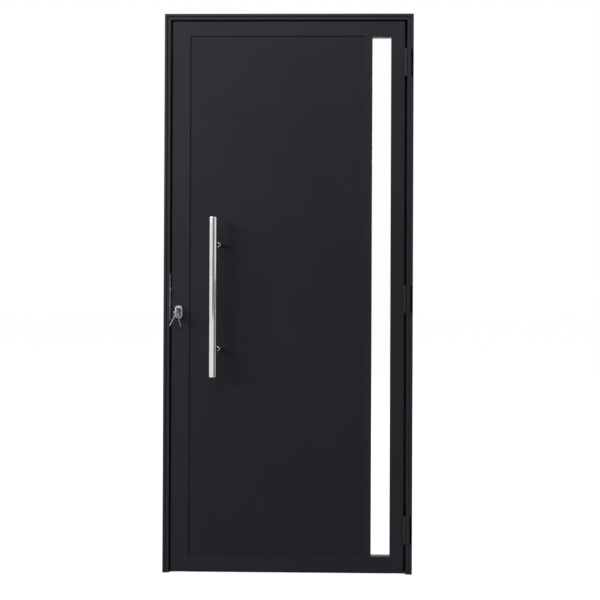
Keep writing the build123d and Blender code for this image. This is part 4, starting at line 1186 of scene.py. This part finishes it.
@dataclass
class GreyCard:
    """One upright card that the camera does not see, only the metal that mirrors it."""

    name: str
    colour: str
    place: tuple[float, float, float]
    turn: float
    size: tuple[float, float]

    def build(self) -> None:
        """Stand the card in its place, turned about the upright by so many degrees."""
        deselect_all()
        bpy.ops.mesh.primitive_plane_add(
            size=1.0, location=self.place, rotation=(math.pi / 2, 0, math.radians(self.turn))
        )
        card = bpy.context.object
        card.name = self.name
        card.scale = (*self.size, 1.0)
        card.visible_camera = False
        card.visible_diffuse = False
        card.visible_transmission = False
        card.visible_shadow = False
        material = bpy.data.materials.new(self.name)
        tree = empty_tree(material)
        matt = add_node(tree, "ShaderNodeBsdfDiffuse", None, {"Color": linear(self.colour)})
        add_node(tree, "ShaderNodeOutputMaterial", None, {"Surface": matt.outputs["BSDF"]})
        card.data.materials.append(material)


def seen_directly(tree: bpy.types.NodeTree) -> bpy.types.NodeSocket:
    """Tell the rays that look at the background from those that only carry its light.

    Args:
        tree: The node tree of the floor or the world.

    Returns:
        A socket that is one for camera, glossy and transmission rays.
    """
    path = add_node(tree, "ShaderNodeLightPath").outputs
    either = add_node(
        tree, "ShaderNodeMath", {"operation": "MAXIMUM"},
        {0: path["Is Camera Ray"], 1: path["Is Glossy Ray"]},
    ).outputs["Value"]
    return add_node(
        tree, "ShaderNodeMath", {"operation": "MAXIMUM"},
        {0: either, 1: path["Is Transmission Ray"]},
    ).outputs["Value"]


@dataclass
class Studio:
    """A white sweep with soft lamps, and grey cards out of view for the metal to mirror."""

    floor_size: float = 40.0
    floor_colour: str = "#6e6e6e"
    floor_lift: float = 0.96
    # Painted shade in the floor's glow: how far the occlusion looks, and the occlusion levels between
    # which the glow fades out.
    painted_shade_reach: float = 0.080
    shut_below: float = 0.30
    open_above: float = 0.50
    ambient: float = 0.225
    cards: list[GreyCard] = field(
        default_factory=lambda: [
            GreyCard(
                "card_behind_camera", "#b4aeac", place=(1.5, -2.6, 1.345), turn=0.0, size=(2.2, 0.91)
            ),
            GreyCard(
                "card_beside_lens", "#a8a2a0", place=(-0.19, -1.2, 1.24), turn=0.0, size=(0.46, 0.62)
            ),
            GreyCard(
                "card_at_the_side", "#b09f9d", place=(1.2, -1.375, 0.575), turn=90.0, size=(2.45, 1.15)
            ),
        ]
    )
    lamps: list[SoftBox] = field(
        default_factory=lambda: [
            SoftBox(
                "left_softbox", place=(-3.4, -2.2, 2.5), aim=(-0.3, 0.0, 1.0),
                width=3.0, height=1.2, watts=118.0,
            ),
            SoftBox(
                "top_softbox", place=(-0.8, -2.6, 4.5), aim=(-0.1, 0.0, 1.1),
                width=2.0, height=1.6, watts=62.0,
            ),
            SoftBox(
                "fill_softbox", place=(2.6, -1.9, 2.9), aim=(0.1, 0.0, 1.5),
                width=1.0, height=1.4, watts=5.0,
            ),
            SoftBox(
                "back_softbox", place=(2.0, 3.0, 2.3), aim=(0.0, 0.0, 1.1),
                width=2.4, height=2.0, watts=150.0,
            ),
        ]
    )

    def build_world(self) -> None:
        """Make the world white to look at and dimmer as a source of light."""
        world = bpy.data.worlds.new("white_sweep")
        tree = empty_tree(world)
        glow = add_node(
            tree, "ShaderNodeBackground", None, {"Color": WHITE, "Strength": self.ambient}
        ).outputs["Background"]
        white = add_node(
            tree, "ShaderNodeBackground", None, {"Color": WHITE, "Strength": 1.0}
        ).outputs["Background"]
        mix = add_node(tree, "ShaderNodeMixShader", None, {0: seen_directly(tree), 1: glow, 2: white})
        add_node(tree, "ShaderNodeOutputWorld", None, {"Surface": mix.outputs["Shader"]})
        bpy.context.scene.world = world

    def build_floor(self) -> None:
        """Make the pale floor, which keeps the door's shadow, with painted shade under and beside the
        door where its glow is dimmed by ambient occlusion.
        """
        deselect_all()
        bpy.ops.mesh.primitive_plane_add(size=self.floor_size)
        floor = bpy.context.object
        floor.name = "floor"
        material = bpy.data.materials.new("pale_floor")
        tree = empty_tree(material)
        matt = add_node(tree, "ShaderNodeBsdfDiffuse", None, {"Color": linear(self.floor_colour)})
        # Painted shade: the glow is dimmed by ambient occlusion, so it darkens under and right beside the
        # door.
        unshaded_share = add_node(
            tree, "ShaderNodeAmbientOcclusion", None, {"Distance": self.painted_shade_reach}
        ).outputs["AO"]
        lift = add_node(
            tree, "ShaderNodeMapRange", None,
            {
                "Value": unshaded_share, "From Min": self.shut_below, "From Max": self.open_above,
                "To Min": 0.0, "To Max": self.floor_lift,
            },
        ).outputs["Result"]
        shown = add_node(
            tree, "ShaderNodeMath", {"operation": "MULTIPLY"}, {0: seen_directly(tree), 1: lift}
        )
        glow = add_node(tree, "ShaderNodeEmission", None, {"Strength": shown.outputs["Value"]})
        both = add_node(
            tree, "ShaderNodeAddShader", None, {0: matt.outputs["BSDF"], 1: glow.outputs["Emission"]}
        )
        add_node(tree, "ShaderNodeOutputMaterial", None, {"Surface": both.outputs["Shader"]})
        floor.data.materials.append(material)

    def build(self) -> None:
        """Make the world, the floor, the cards and the lamps."""
        bpy.context.scene.view_settings.view_transform = "Standard"
        self.build_world()
        self.build_floor()
        for thing in (*self.cards, *self.lamps):
            thing.build()
        log.info("lit the stage with %d lamps", len(self.lamps))


def main() -> None:
    """Build the camera, the stage and every sub-assembly in order."""
    logging.basicConfig(level=logging.INFO, format="%(message)s")
    PhotoCamera().build()
    Studio().build()
    for assembly in (
        FrameSet(), FrameHingeSet(), LeafHingeSet(), LeafSet(), Infill(), LockSet(), Latch(),
        LatchSpring(), Roller(), Deadbolt(), PullHandle(), KeyBunch(), BottomBrush(),
    ):
        assembly.build()


if __name__ == "__main__":
    main()
